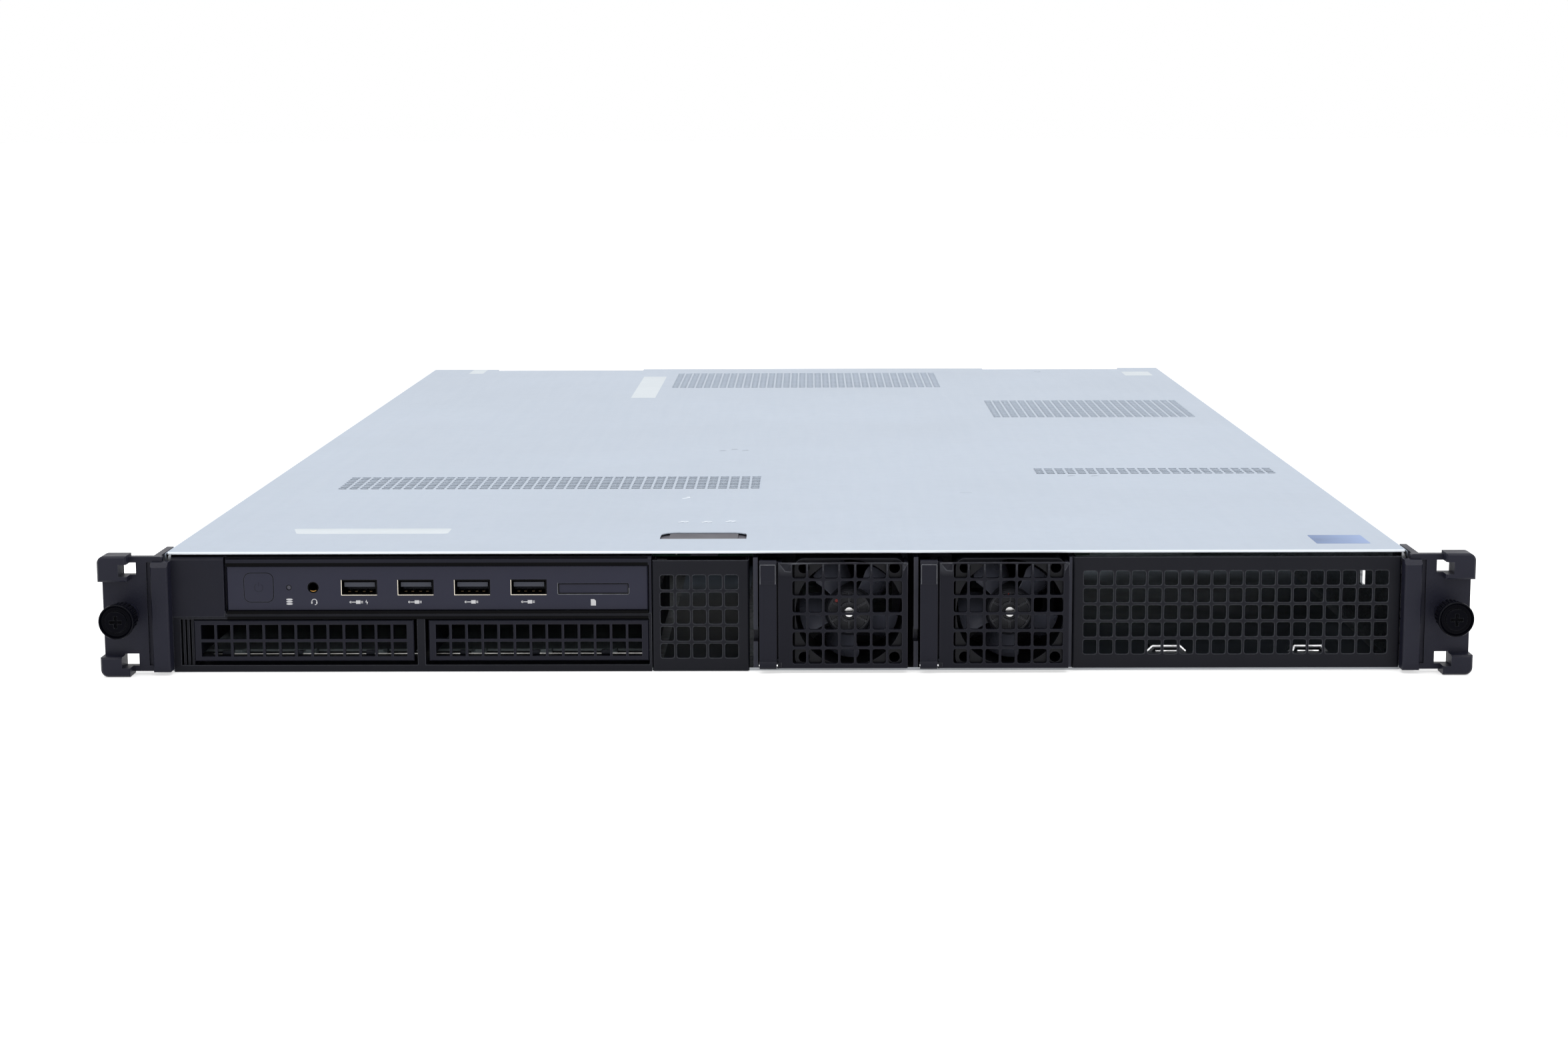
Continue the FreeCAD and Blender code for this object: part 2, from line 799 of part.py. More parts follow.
# ---- left front: bezel and input panel ----
def io_bezel():
    """Moulded bezel: plain badge face on the left and the frame round the input panel."""
    top = bezel_top
    outline = [(left_edge, badge_bottom), (badge_right, badge_bottom), (badge_right, bay_shelf_top + seat_gap),
               (cage_right, bay_shelf_top + seat_gap), (cage_right, top), (left_edge, top)]
    bezel = prism(outline, "xz", front_y - 0.2, bezel_depth, 0)
    edges = [edge for edge in bezel.Edges
             if edge.BoundBox.YMax < front_y - 0.19 and edge.BoundBox.ZMin > top - 0.01]
    bezel = bezel.makeChamfer(0.9, edges)
    room = rectangle(badge_right + panel_gap, panel_right + panel_gap, bay_shelf_top, panel_top + panel_gap)
    groove = block(badge_right + 0.1, badge_right + panel_gap + 0.6, front_y - 1, front_y + 3, panel_bottom, top + 1)
    back = block(left_edge + 1.5, badge_right - 1.5, front_y + 2, front_y + bezel_depth + 1, badge_bottom + 1.5,
                 top - 1.5)
    bezel = bezel.cut(prism(room, "xz", front_y - 1, bezel_depth + 2, 0.3)).cut(back)
    return bezel.cut(groove)


def io_panel():
    """Input panel: shallow moulded shell pierced for the button, lights and sockets."""
    y0 = front_y + panel_recess
    y1 = y0 + panel_sheet
    spots = rectangle(panel_left, panel_right, panel_bottom, panel_top)
    shell = prism(spots, "xz", y0, panel_sheet + panel_skirt)
    shell = shell.makeChamfer(0.4, [edge for edge in shell.Edges if edge.BoundBox.YMax < y0 + 0.01])
    hollow = rectangle(panel_left + 1.2, panel_right - 1.2, panel_bottom - 1, panel_top - 1.2)
    shell = shell.cut(prism(hollow, "xz", y1, panel_skirt + 1))
    grow = button_size / 2 + button_gap
    x = panel_left + button_center
    cuts = [prism(rectangle(x - grow, x + grow, panel_axis_z - grow, panel_axis_z + grow), "xz", y0 - 1,
                  panel_sheet + 2, button_corner + button_gap)]
    cuts.append(rod_y(panel_left + light_center, panel_axis_z, light_radius + shaft_gap, y0 - 1, y1 + 1))
    cuts.append(rod_y(panel_left + jack_center, panel_axis_z, jack_radius + shaft_gap, y0 - 1, y1 + 1))
    for middle in usb_middles():
        spot = rectangle(middle - usb_width / 2 - seat_gap, middle + usb_width / 2 + seat_gap,
                         usb_bottom() - seat_gap, usb_bottom() + usb_height + seat_gap)
        cuts.append(prism(spot, "xz", y0 - 1, panel_sheet + 2))
    x = panel_left + card_center
    low = usb_bottom() + (usb_height - card_height) / 2 - card_drop
    cuts.append(prism(rectangle(x - card_width / 2, x + card_width / 2, low, low + card_height), "xz", y0 - 1,
                      panel_sheet + 2))
    return shell.cut(Part.makeCompound(cuts))


def usb_middles():
    """Middle x of each USB socket."""
    return [panel_left + usb_first_center + i * usb_pitch for i in range(usb_count)]


def usb_bottom():
    """Lowest z of the USB shells, which stand on the board."""
    return panel_axis_z - usb_height / 2 - 0.1


def io_board_bottom():
    """Underside of the input board."""
    return usb_bottom() - board_thickness


def io_board_screws():
    """Where the input board stands on its posts."""
    y = front_y + io_board_depth - 6
    return [(panel_left + 8, y), ((badge_right + cage_right) / 2, y), (cage_right - 8, y)]


def io_board():
    """Input board with the switch block that the power button presses."""
    y0 = front_y + panel_recess + panel_sheet + 2.6
    z1 = usb_bottom()
    board = block(panel_left + 1.4, panel_right - 1.4, y0, front_y + io_board_depth, z1 - board_thickness, z1)
    x = panel_left + button_center
    switch = block(x - 3, x + 3, y0 + 3.4, y0 + 8, z1, panel_axis_z + 2)
    return fuse(board, switch)


def power_button():
    """Square cap with rounded corners, a retaining flange behind and a short stem."""
    x = panel_left + button_center
    y0 = front_y + panel_recess - 0.1
    half = button_size / 2
    behind = front_y + panel_recess + panel_sheet + seat_gap
    cap = prism(rectangle(x - half, x + half, panel_axis_z - half, panel_axis_z + half), "xz", y0,
                behind - y0, button_corner)
    wide = half + 1.2
    flange = block(x - wide, x + wide, behind, behind + 0.8, panel_axis_z - half - 0.6, panel_axis_z + wide)
    stem = block(x - 1.6, x + 1.6, behind + 0.8, switch_front() - button_travel - seat_gap, panel_axis_z - 1.6,
                 panel_axis_z + 1.6)
    return fuse(cap, flange, stem)


def switch_front():
    """Front face of the switch block behind the power button."""
    return front_y + panel_recess + panel_sheet + 2.6 + 3.4


def activity_light():
    """Short light pipe in the panel, on its lamp block on the board."""
    x = panel_left + light_center
    y0 = front_y + panel_recess + 0.2
    y1 = front_y + panel_recess + panel_sheet + 2.7
    pipe = rod_y(x, panel_axis_z, light_radius, y0, y1)
    lamp = block(x - 1.2, x + 1.2, y1, y1 + 3, usb_bottom(), panel_axis_z + 1.2)
    return fuse(pipe, lamp)


def headset_jack():
    """Jack barrel with its bore, on a square body that stands on the board."""
    x = panel_left + jack_center
    y0 = front_y + panel_recess + 0.1
    y1 = front_y + panel_recess + panel_sheet + 2.7
    barrel = rod_y(x, panel_axis_z, jack_radius, y0, y1)
    body = block(x - 3.1, x + 3.1, y1, y1 + 11, usb_bottom(), panel_axis_z + 2.6)
    return fuse(barrel, body).cut(rod_y(x, panel_axis_z, jack_radius - 0.35, y0 - 1, y1 + 9))


def usb_shells():
    """Plated socket shells, open to the front."""
    shells = []
    y0 = front_y + panel_recess - 0.1
    for middle in usb_middles():
        x0 = middle - usb_width / 2
        z0 = usb_bottom()
        outer = prism(rectangle(x0, x0 + usb_width, z0, z0 + usb_height), "xz", y0, usb_length)
        inner = block(x0 + usb_wall, x0 + usb_width - usb_wall, y0 - 1, y0 + usb_length - usb_wall,
                      z0 + usb_wall, z0 + usb_height - usb_wall)
        shells.append(outer.cut(inner))
    return shells


def usb_tongues():
    """Contact tongue in the upper half of each socket, rooted in the shell's rear."""
    tongues = []
    y0 = front_y + panel_recess + 1.6
    y1 = front_y + panel_recess - 0.1 + usb_length - usb_wall
    for middle in usb_middles():
        z1 = usb_bottom() + usb_height - usb_wall
        tongue = block(middle - 5.4, middle + 5.4, y0, y1 - 3, z1 - 2.3, z1 - 0.7)
        root = block(middle - usb_width / 2 + usb_wall, middle + usb_width / 2 - usb_wall, y1 - 3, y1,
                     usb_bottom() + usb_wall, z1)
        tongues.append(fuse(tongue, root))
    return tongues


def card_slot_blank():
    """Plug that closes the card slot, with a wider lip behind the panel."""
    x = panel_left + card_center
    low = usb_bottom() + (usb_height - card_height) / 2 - card_drop
    half = card_width / 2 - card_gap
    y0 = front_y + panel_recess + 0.3
    behind = front_y + panel_recess + panel_sheet + seat_gap
    plug = prism(rectangle(x - half, x + half, low + card_gap, low + card_height - card_gap), "xz", y0,
                 behind - y0 + 1)
    lip = block(x - half - 2, x + half + 1.2, behind, behind + 1, low - 0.6, low + card_height + 0.6)
    return fuse(plug, lip)


# ---- front plates ----
def center_grille():
    """Folded plate with a square field of cells between the bays and the fans."""
    x0 = center_left
    x1 = center_right
    outline = [(x0, front_y), (x1, front_y), (x1, front_y + fold_depth), (x1 - front_sheet, front_y + fold_depth),
               (x1 - front_sheet, pan_front), (x0 + front_sheet, pan_front),
               (x0 + front_sheet, front_y + fold_depth), (x0, front_y + fold_depth)]
    radii = [0.9, 0.9, 0, 0, 0, 0, 0, 0]
    plate = prism(outline, "xy", pan_sheet, center_top - pan_sheet, radii)
    foot = block(x0 + 0.9, x1 - 0.9, front_y, pan_front, 0, pan_sheet)
    plate = fuse(plate, foot)
    counts = (center_count, center_count)
    return plate.cut(cells(x0 + center_cells_left, center_cells_bottom, counts, front_y - 1, pan_front + 1))


def right_grille():
    """Folded plate with the widest field of cells, up to the right wall."""
    x0 = right_left
    x1 = pan_inner - seat_gap
    outline = [(x0, front_y), (x1, front_y), (x1, front_y + fold_depth), (x1 - front_sheet, front_y + fold_depth),
               (x1 - front_sheet, pan_front), (x0 + front_sheet, pan_front),
               (x0 + front_sheet, front_y + fold_depth), (x0, front_y + fold_depth)]
    plate = prism(outline, "xy", pan_sheet, right_top - pan_sheet, [0.9, 0.5, 0, 0, 0, 0, 0, 0])
    foot = block(x0 + 0.9, x1, front_y, pan_front, right_bottom, pan_sheet)
    plate = fuse(plate, foot)
    room = x1 - x0 - 2 * right_cells_left + web_width
    cols = int(room / cell_pitch_x)
    counts = (cols, right_rows)
    return plate.cut(cells(x0 + right_cells_left, right_cells_bottom, counts, front_y - 1, pan_front + 1))


# ---- front fans ----
def fan_lefts():
    """Left x of each fan module."""
    return [fan_start + i * fan_module_pitch for i in range(fan_count)]


def fan_wall_places():
    """Left x of each wall of the fan cage."""
    walls = [left - module_gap - fan_wall for left in fan_lefts()]
    return walls + [fan_end + module_gap]


def fan_middle(left):
    """Middle x of the fan in the module that starts at left."""
    return left + fan_axis_left


def fan_cage():
    """Comb of walls between the fan modules, joined by a rear plate with the air openings."""
    walls = fan_wall_places()
    y0 = front_y + front_sheet + seat_gap
    y1 = front_y + fan_cage_depth
    top = pan_top - pan_sheet - 0.6
    pieces = [block(x, x + fan_wall, y0, y1, pan_sheet, top) for x in walls[:-1]]
    thin = right_left - walls[-1] - seat_gap
    pieces.append(block(walls[-1], walls[-1] + thin, y0, y1, pan_sheet, top))
    plate = block(walls[0], walls[-1] + thin, y1 - front_sheet, y1, pan_sheet, top)
    for left in fan_lefts():
        x = fan_middle(left)
        half = fan_bore_radius - 1.5
        cut = half * 0.4
        spot = [(x - half, fan_axis_z - half + cut), (x - half + cut, fan_axis_z - half),
                (x + half - cut, fan_axis_z - half), (x + half, fan_axis_z - half + cut),
                (x + half, fan_axis_z + half - cut), (x + half - cut, fan_axis_z + half),
                (x - half + cut, fan_axis_z + half), (x - half, fan_axis_z + half - cut)]
        plate = plate.cut(prism(spot, "xz", y1 - front_sheet - 1, front_sheet + 2))
    cage = fuse(plate, *pieces)
    notches = [block(x - 1, x + fan_wall + 1, y0 - 1, y0 + 6, fan_notch_bottom, fan_notch_top) for x in walls[:-1]]
    return cage.cut(Part.makeCompound(notches))


def fan_plug_box(left, grow, y0, y1):
    """Box of the fan connector's outline at one module."""
    x = left + lever_left + lever_width / 2
    return block(x - 2.4 - grow, x + 2.4 + grow, y0, y1, 12.0 - grow, 30.0 + grow)


def fan_sockets():
    """Fixed half of each fan connector, on the cage's rear plate."""
    sockets = []
    y1 = front_y + fan_cage_depth - front_sheet
    y0 = front_y + fan_arm_length - 4
    for left in fan_lefts():
        body = fan_plug_box(left, 0.8, y0, y1)
        sockets.append(body.cut(fan_plug_box(left, 0.3, y0 - 1, y0 + 5)))
    return sockets


def fan_frame(left):
    """Module carrier: front guard with its cells, folded sides, lever seat and plug arm."""
    right = left + fan_module_width
    x0 = right - fan_frame_width
    y0 = front_y - fan_frame_front
    y1 = y0 + fan_frame_sheet
    outline = rectangle(x0, right, fan_frame_bottom, fan_frame_top)
    guard = prism(outline, "xz", y0, fan_frame_sheet)
    rim = [edge for edge in guard.Edges if edge.BoundBox.YMax < y0 + 0.01]
    guard = guard.makeChamfer(0.4, rim)
    pitch = (fan_cell_pitch_x, fan_cell_pitch_z)
    guard = guard.cut(cells(x0 + fan_cells_left, fan_cells_bottom, (fan_cols, fan_rows), y0 - 1, y1 + 1, pitch=pitch))
    low = pan_sheet + 0.4
    skirts = [block(x0, x0 + 1.2, y1 - 0.5, front_y + fan_frame_skirt, low, fan_frame_top),
              block(right - 1.2, right, y1 - 0.5, front_y + fan_frame_skirt, low, fan_frame_top)]
    seat = block(left + 0.3, x0 + 0.5, front_y + 0.6, front_y + 2.2, low, lever_top - 1)
    arm = block(left + 0.3, left + 1.5, front_y + 1.4, front_y + fan_arm_length - 5, 12.0, 30.0)
    plug = fan_plug_box(left, 0, front_y + fan_arm_length - 14, front_y + fan_arm_length)
    pin_z = lever_pivot_z
    pin_y = front_y - lever_pivot_front
    lug_left = left + lever_left + lever_width + lever_gap
    ear = block(lug_left, x0 + 0.3, y0 + 0.6, front_y + 2.2, low, lever_pivot_z + 2.0)
    frame = fuse(guard, seat, arm, plug, ear, *skirts)
    return frame.cut(rod_x(pin_y, pin_z, lever_pin_radius + shaft_gap, left - 1, x0 + 1.5))


def fan_housing(left):
    """Square fan body: round bore, cut corners, rear struts and the motor's cup."""
    x = fan_middle(left)
    z = fan_axis_z
    y0 = front_y - fan_frame_front + fan_frame_sheet + seat_gap
    y1 = y0 + fan_depth
    half = fan_size / 2
    body = block(x - half, x + half, y0, y1, z - half, z + half)
    upright = [edge for edge in body.Edges if edge.BoundBox.YLength > fan_depth - 0.1]
    body = body.makeChamfer(fan_corner, upright).cut(rod_y(x, z, fan_bore_radius, y0 - 1, y1 + 1))
    holes = [post_y(x + a * fan_hole_reach, z + b * fan_hole_reach, fan_hole_radius, fan_hole_sides, y0 - 1, y1 + 1)
             for a in (-1, 1) for b in (-1, 1)]
    body = body.cut(Part.makeCompound(holes))
    cup = rod_y(x, z, fan_hub_radius, y1 - fan_motor_depth, y1)
    cup = cup.cut(rod_y(x, z, fan_shaft_radius + shaft_gap, y1 - fan_motor_depth - 1, y1 + 1))
    struts = []
    for turn in range(4):
        strut = block(x + fan_hub_radius - 1, x + fan_bore_radius + 0.8, y1 - 3, y1, z - 1.1, z + 1.1)
        strut.rotate(vector(x, 0, z), vector(0, 1, 0), 45 + 90 * turn)
        struts.append(strut)
    return fuse(body, cup, *struts)


def skin(rings):
    """Solid skinned with flat triangles between matching closed rings of points."""
    count = len(rings[0])
    faces = []
    for ring in (rings[0], rings[-1]):
        for index in range(1, count - 1):
            faces.append((ring[0], ring[index], ring[index + 1]))
    for low, high in zip(rings, rings[1:]):
        for index in range(count):
            after = (index + 1) % count
            faces.append((low[index], low[after], high[after]))
            faces.append((low[index], high[after], high[index]))
    flat = [Part.Face(Part.makePolygon([a, b, c, a])) for a, b, c in faces]
    solid = Part.makeSolid(Part.makeShell(flat))
    if solid.Volume < 0:
        solid.reverse()
    return solid


def blade(x, z, y0, y1, radii, pitches, thickness):
    """One fan blade: cambered sections on growing radii, each turned to its own pitch."""
    rings = []
    for radius, pitch in zip(radii, pitches):
        lean = math.radians(pitch)
        chord = (y1 - y0) / math.cos(lean)
        camber = chord * blade_camber
        ring = []
        for along, across in ((-0.5, 0), (0, camber), (0.5, 0), (0.5, thickness), (0, camber + thickness),
                              (-0.5, thickness)):
            ahead = along * chord * math.cos(lean) - across * math.sin(lean)
            side = along * chord * math.sin(lean) + (across - thickness / 2) * math.cos(lean)
            turn = side / radius
            ring.append(vector(x + radius * math.sin(turn), (y0 + y1) / 2 + ahead, z + radius * math.cos(turn)))
        rings.append(ring)
    return skin(rings)


def blade_ring(first, x, z, count):
    """Copies of one blade, spread evenly round the rotor."""
    blades = []
    for index in range(count):
        copy = first.copy()
        copy.rotate(vector(x, 0, z), vector(0, 1, 0), 360 / count * index)
        blades.append(copy)
    return blades


def fan_rotor(left):
    """Hub cap with radial ribs and seven twisted blades."""
    x = fan_middle(left)
    z = fan_axis_z
    y0 = front_y - fan_frame_front + fan_frame_sheet + seat_gap + 1.2
    y1 = y0 + fan_depth - fan_motor_depth - 2.4
    tip = fan_bore_radius - fan_blade_clearance
    hub = turned([(0, y0 + 0.5), (fan_hub_radius, y0 + 0.5), (fan_hub_radius, y1), (0, y1)], x, z)
    ribs = []
    for turn in range(hub_ribs):
        rib = block(x + 3.0, x + fan_hub_radius - 1.0, y0, y0 + 0.6, z - 0.35, z + 0.35)
        rib.rotate(vector(x, 0, z), vector(0, 1, 0), 360 / hub_ribs * turn)
        ribs.append(rib)
    radii = [fan_hub_radius - 0.8, (fan_hub_radius + tip) / 2, tip]
    pitches = [fan_pitch_hub, (fan_pitch_hub + fan_pitch_tip) / 2, fan_pitch_tip]
    first = blade(x, z, y0 + 1.4, y1 - 1.0, radii, pitches, fan_blade_thickness)
    blades = blade_ring(first, x, z, fan_blades)
    shaft = rod_y(x, z, fan_shaft_radius, y1 - 0.5, y1 + 2.4 + fan_motor_depth - 0.6)
    screw = rod_y(x, z, fan_screw_radius, y0 - 0.5, y0 + 0.6)
    return fuse(hub, shaft, screw, *ribs, *blades)


def fan_lever(left):
    """Upright pull lever: hooked foot round its pin and a raised thumb tab at the top."""
    x0 = left + lever_left
    back = front_y - 0.4
    front = back - lever_thickness
    pin_y = front_y - lever_pivot_front
    foot = lever_pivot_z
    radius = pin_y - front + 1.2
    outline = [(front, foot), (back, foot), (back, lever_top), (front + 0.6, lever_top), (front, lever_top - 0.8)]
    arm = prism(outline, "yz", x0, lever_width)
    heel = rod_x(pin_y, lever_pivot_z, radius, x0, x0 + lever_width)
    tab_front = front - lever_tab_rise
    tab_outline = [(tab_front + 0.5, lever_tab_bottom), (back - 0.5, lever_tab_bottom), (back - 0.5, lever_top - 0.9),
                   (tab_front, lever_top - 0.9), (tab_front, lever_tab_bottom + 1.2)]
    tab = prism(tab_outline, "yz", x0 + 0.25, lever_width - 0.5)
    lever = fuse(arm, heel, tab)
    return lever.cut(rod_x(pin_y, lever_pivot_z, lever_pin_radius + shaft_gap, x0 - 1, x0 + lever_width + 1))


def fan_lever_pin(left):
    """Steel pin that the lever turns on, held in the carrier's lug."""
    x0 = left + lever_left - 0.2
    x1 = left + fan_module_width - fan_frame_width + 1.1
    return rod_x(front_y - lever_pivot_front, lever_pivot_z, lever_pin_radius, x0, x1)


# ---- rack ears ----
def right_ear():
    """Cast ear: flange with lobes and windows, upright column and the arm down the side."""
    back = front_y - ear_plate_back
    front = front_y - ear_plate_front
    lobe_left = ear_half - ear_lobe_width
    column_left = half_width - ear_column_cover
    outer = max(ear_half - ear_plate_inset, thumb_x + collar_radius, column_left + ear_column_width)
    inner = min(ear_inner, thumb_x - collar_radius, lobe_left)
    plate = prism(rectangle(inner, outer, ear_column_bottom, ear_top), "xz", front, back - front, 0.8)
    lobes = []
    for low, high, corners in ((body_height - ear_lobe_top_height, body_height, [0, 0, ear_lobe_corner, 0]),
                               (0, ear_lobe_bottom_height, [0, ear_lobe_corner, 0, 0])):
        spots = rectangle(lobe_left, ear_half, low, high)
        lobe = prism(spots, "xz", front_y - ear_lobe_front, ear_lobe_front - ear_plate_back, corners)
        rim = [edge for edge in lobe.Edges if edge.BoundBox.YMax < front_y - ear_lobe_front + 0.01]
        lobes.append(lobe.makeChamfer(0.6, rim))
    column_front = front_y - ear_column_front
    column_spots = [(column_front, ear_column_bottom + 2.2), (column_front + 0.6, ear_column_bottom),
                    (back, ear_column_bottom), (back, ear_column_top), (column_front + 1.6, ear_column_top),
                    (column_front, ear_column_top - 1.6)]
    column = prism(column_spots, "yz", column_left, ear_column_width)
    edges = [edge for edge in column.Edges
             if edge.BoundBox.YMax < column_front + 0.01 and edge.BoundBox.ZLength > 10]
    column = column.makeChamfer(0.4, edges)
    arm_inner = half_width + ear_arm_gap
    arm_outer = arm_inner + ear_arm_thickness
    tail = front_y + ear_arm_length
    arm_spots = [(back - 0.5, ear_column_bottom), (tail, ear_column_bottom), (tail, ear_pad_top), (tail - 1, ear_top),
                 (back - 0.5, ear_top)]
    arm = prism(arm_spots, "yz", arm_inner, ear_arm_thickness)
    pad = block(pan_half, arm_inner + 0.1, pan_front, tail, ear_column_bottom, ear_pad_top)
    bridge = block(ear_inner, arm_outer, back - 0.5, pan_front, ear_column_bottom, ear_pad_top)
    collar = rod_y(thumb_x, thumb_z, collar_radius, front_y - collar_front, back)
    ear = fuse(plate, column, arm, pad, bridge, collar, *lobes)
    groove = block(column_left + ear_column_width + 0.2, column_left + ear_column_width + 0.2 + ear_groove,
                   front - 1, front + 1.0, ear_column_bottom + 2, ear_top - 2)
    cuts = [groove, rod_y(thumb_x, thumb_z, shank_radius + shaft_gap, front - 20, back + 1)]
    middle = ear_half - ear_window_center
    for z in (ear_window_edge, body_height - ear_window_edge):
        spot = rectangle(middle - ear_window_width / 2, middle + ear_window_width / 2, z - ear_window_height / 2,
                         z + ear_window_height / 2)
        cuts.append(prism(spot, "xz", front_y - ear_lobe_front - 1, ear_lobe_front + 2))
    return ear.cut(Part.makeCompound(cuts))


def retainer_front():
    """Front face of the retaining ring behind the ear, at rest."""
    return front_y - ear_plate_back + thumb_travel + 0.3


def right_thumb_retainer():
    """Ring in the screw's groove that keeps the thumbscrew captive."""
    y0 = retainer_front()
    groove = shank_radius - retainer_groove
    outer = rod_y(thumb_x, thumb_z, retainer_radius, y0, y0 + retainer_thickness)
    return outer.cut(rod_y(thumb_x, thumb_z, groove + shaft_gap, y0 - 1, y0 + retainer_thickness + 1))


def knob_ring(y, inset):
    """Fluted outline of the knob at one place along its axis."""
    spots = []
    for index in range(2 * knob_flutes):
        radius = knob_radius - inset - (knob_flute_depth if index % 2 else 0)
        angle = math.pi * index / knob_flutes
        spots.append(vector(thumb_x + radius * math.cos(angle), y, thumb_z + radius * math.sin(angle)))
    return spots


def right_thumbscrew():
    """Fluted knob with a recessed cross-slotted head and its screw shank."""
    back = front_y - collar_front - seat_gap
    front = front_y - front_reach
    rings = [knob_ring(front, knob_chamfer), knob_ring(front + knob_chamfer, 0), knob_ring(back, 0)]
    knob = Part.makeLoft([Part.makePolygon(ring + ring[:1]) for ring in rings], True, True)
    cross = [block(thumb_x - 2.1, thumb_x + 2.1, front - 1, front + 1.4, thumb_z - 0.55, thumb_z + 0.55),
             block(thumb_x - 0.55, thumb_x + 0.55, front - 1, front + 1.4, thumb_z - 2.1, thumb_z + 2.1)]
    knob = knob.cut(cross[0].fuse(cross[1]))
    y0 = retainer_front() - shaft_gap
    y1 = y0 + retainer_thickness + 2 * shaft_gap
    groove = shank_radius - retainer_groove
    tip = front_y + shank_reach
    shank = turned([(0, back - 0.5), (shank_radius, back - 0.5), (shank_radius, y0), (groove, y0), (groove, y1),
                    (shank_radius, y1), (shank_radius, tip - 0.8), (shank_radius - 0.8, tip), (0, tip)],
                   thumb_x, thumb_z)
    return fuse(knob, shank)


def rail_studs():
    """Shouldered studs on both side walls that the slide rails hook onto."""
    studs = []
    for y in rail_stud_places():
        shoulder = pan_half + rail_stud_neck
        neck = rod_x(y, rail_stud_z, rail_stud_radius, pan_half, shoulder)
        head = rod_x(y, rail_stud_z, rail_stud_head, shoulder, shoulder + rail_stud_head_thickness)
        stud = fuse(neck, head)
        studs += [stud, mirrored(stud)]
    return studs


# ---- power supplies ----
def psu_rear():
    """Rear face of the power supplies."""
    return rear_y + 0.6


def psu_case(x):
    """Supply casing with its fan bore, guard rings, inlet bay and latch slot."""
    y1 = psu_rear()
    y0 = y1 - psu_length
    half = psu_width / 2
    z0 = psu_bottom
    z1 = psu_bottom + psu_height
    case = prism(rectangle(x - half, x + half, z0, z1), "xz", y0, psu_length)
    middle_z = (z0 + z1) / 2
    fan_x = x + psu_fan_x
    bore = rod_y(fan_x, middle_z, psu_fan_radius, y1 - psu_fan_depth, y1 - 1.2)
    windows = []
    for row in range(-2, 3):
        slot_z = middle_z + row * psu_guard_pitch
        reach = math.sqrt((psu_fan_radius - 0.5) ** 2 - (abs(row) * psu_guard_pitch + psu_guard_slot / 2) ** 2)
        for low, high in ((-reach, -0.8), (0.8, reach)):
            windows.append(block(fan_x + low, fan_x + high, y1 - 2, y1 + 1, slot_z - psu_guard_slot / 2,
                                 slot_z + psu_guard_slot / 2))
    inlet_x = x + psu_inlet_x
    inlet = block(inlet_x - psu_inlet_width / 2 - seat_gap, inlet_x + psu_inlet_width / 2 + seat_gap,
                  y1 - psu_inlet_depth - seat_gap, y1 + 1, psu_inlet_z - psu_inlet_height / 2 - seat_gap,
                  psu_inlet_z + psu_inlet_height / 2 + seat_gap)
    latch = block(x + half - psu_latch_thickness - psu_latch_room(), x + half + 1, y1 - psu_latch_length - 1, y1 + 1,
                  psu_latch_z - psu_latch_height / 2 - 0.4, psu_latch_z + psu_latch_height / 2 + 0.4)
    edge = block(x - half + 12, x + half - 12, y0 - 1, y0 + 6, z0 + 8, z0 + 8 + 4)
    return case.cut(Part.makeCompound([bore, inlet, latch, edge] + windows))


def psu_latch_room():
    """Space beside the latch for its swing."""
    return 3.2


def psu_inlet(x):
    """Mains inlet: moulded socket with three blades."""
    middle = x + psu_inlet_x
    y1 = psu_rear() + 0.8
    y0 = psu_rear() - psu_inlet_depth
    half = psu_inlet_width / 2
    low = psu_inlet_z - psu_inlet_height / 2
    high = psu_inlet_z + psu_inlet_height / 2
    body = prism(rectangle(middle - half, middle + half, low, high), "xz", y0, y1 - y0)
    slot_half = 11.9
    spots = [(middle - slot_half, psu_inlet_z - 7.9), (middle + slot_half, psu_inlet_z - 7.9),
             (middle + slot_half, psu_inlet_z + 3.6), (middle + slot_half - 4.3, psu_inlet_z + 7.9),
             (middle - slot_half + 4.3, psu_inlet_z + 7.9), (middle - slot_half, psu_inlet_z + 3.6)]
    body = body.cut(prism(spots, "xz", y1 - 13, 14))
    blades = []
    for dx, dz in ((-7.0, -2.0), (0.0, 2.0), (7.0, -2.0)):
        blades.append(block(middle + dx - 1.0, middle + dx + 1.0, y1 - 14, y1 - 1.5, psu_inlet_z + dz - 2,
                            psu_inlet_z + dz + 2))
    return fuse(body, *blades)


def psu_handle(x):
    """Pull handle: a flat bar bent into a loop across the supply's rear face."""
    y0 = psu_rear()
    y1 = rear_y + rear_reach
    middle = psu_bottom + psu_height / 2
    low = middle - psu_handle_height / 2
    high = middle + psu_handle_height / 2
    bar = psu_handle_bar
    outer = prism([(y0, low), (y1, low), (y1, high), (y0, high)], "yz", x + psu_handle_x - psu_handle_width / 2,
                  psu_handle_width, [0, psu_handle_bend, psu_handle_bend, 0])
    inner = prism([(y0 - 1, low + bar), (y1 - bar, low + bar), (y1 - bar, high - bar), (y0 - 1, high - bar)], "yz",
                  x + psu_handle_x - psu_handle_width, 2 * psu_handle_width,
                  [0, psu_handle_bend - bar, psu_handle_bend - bar, 0])
    feet = []
    for z in (low - psu_handle_foot, high):
        feet.append(block(x + psu_handle_x - psu_handle_width / 2, x + psu_handle_x + psu_handle_width / 2, y0,
                          y0 + bar, z, z + psu_handle_foot))
    return fuse(outer.cut(inner), *feet)


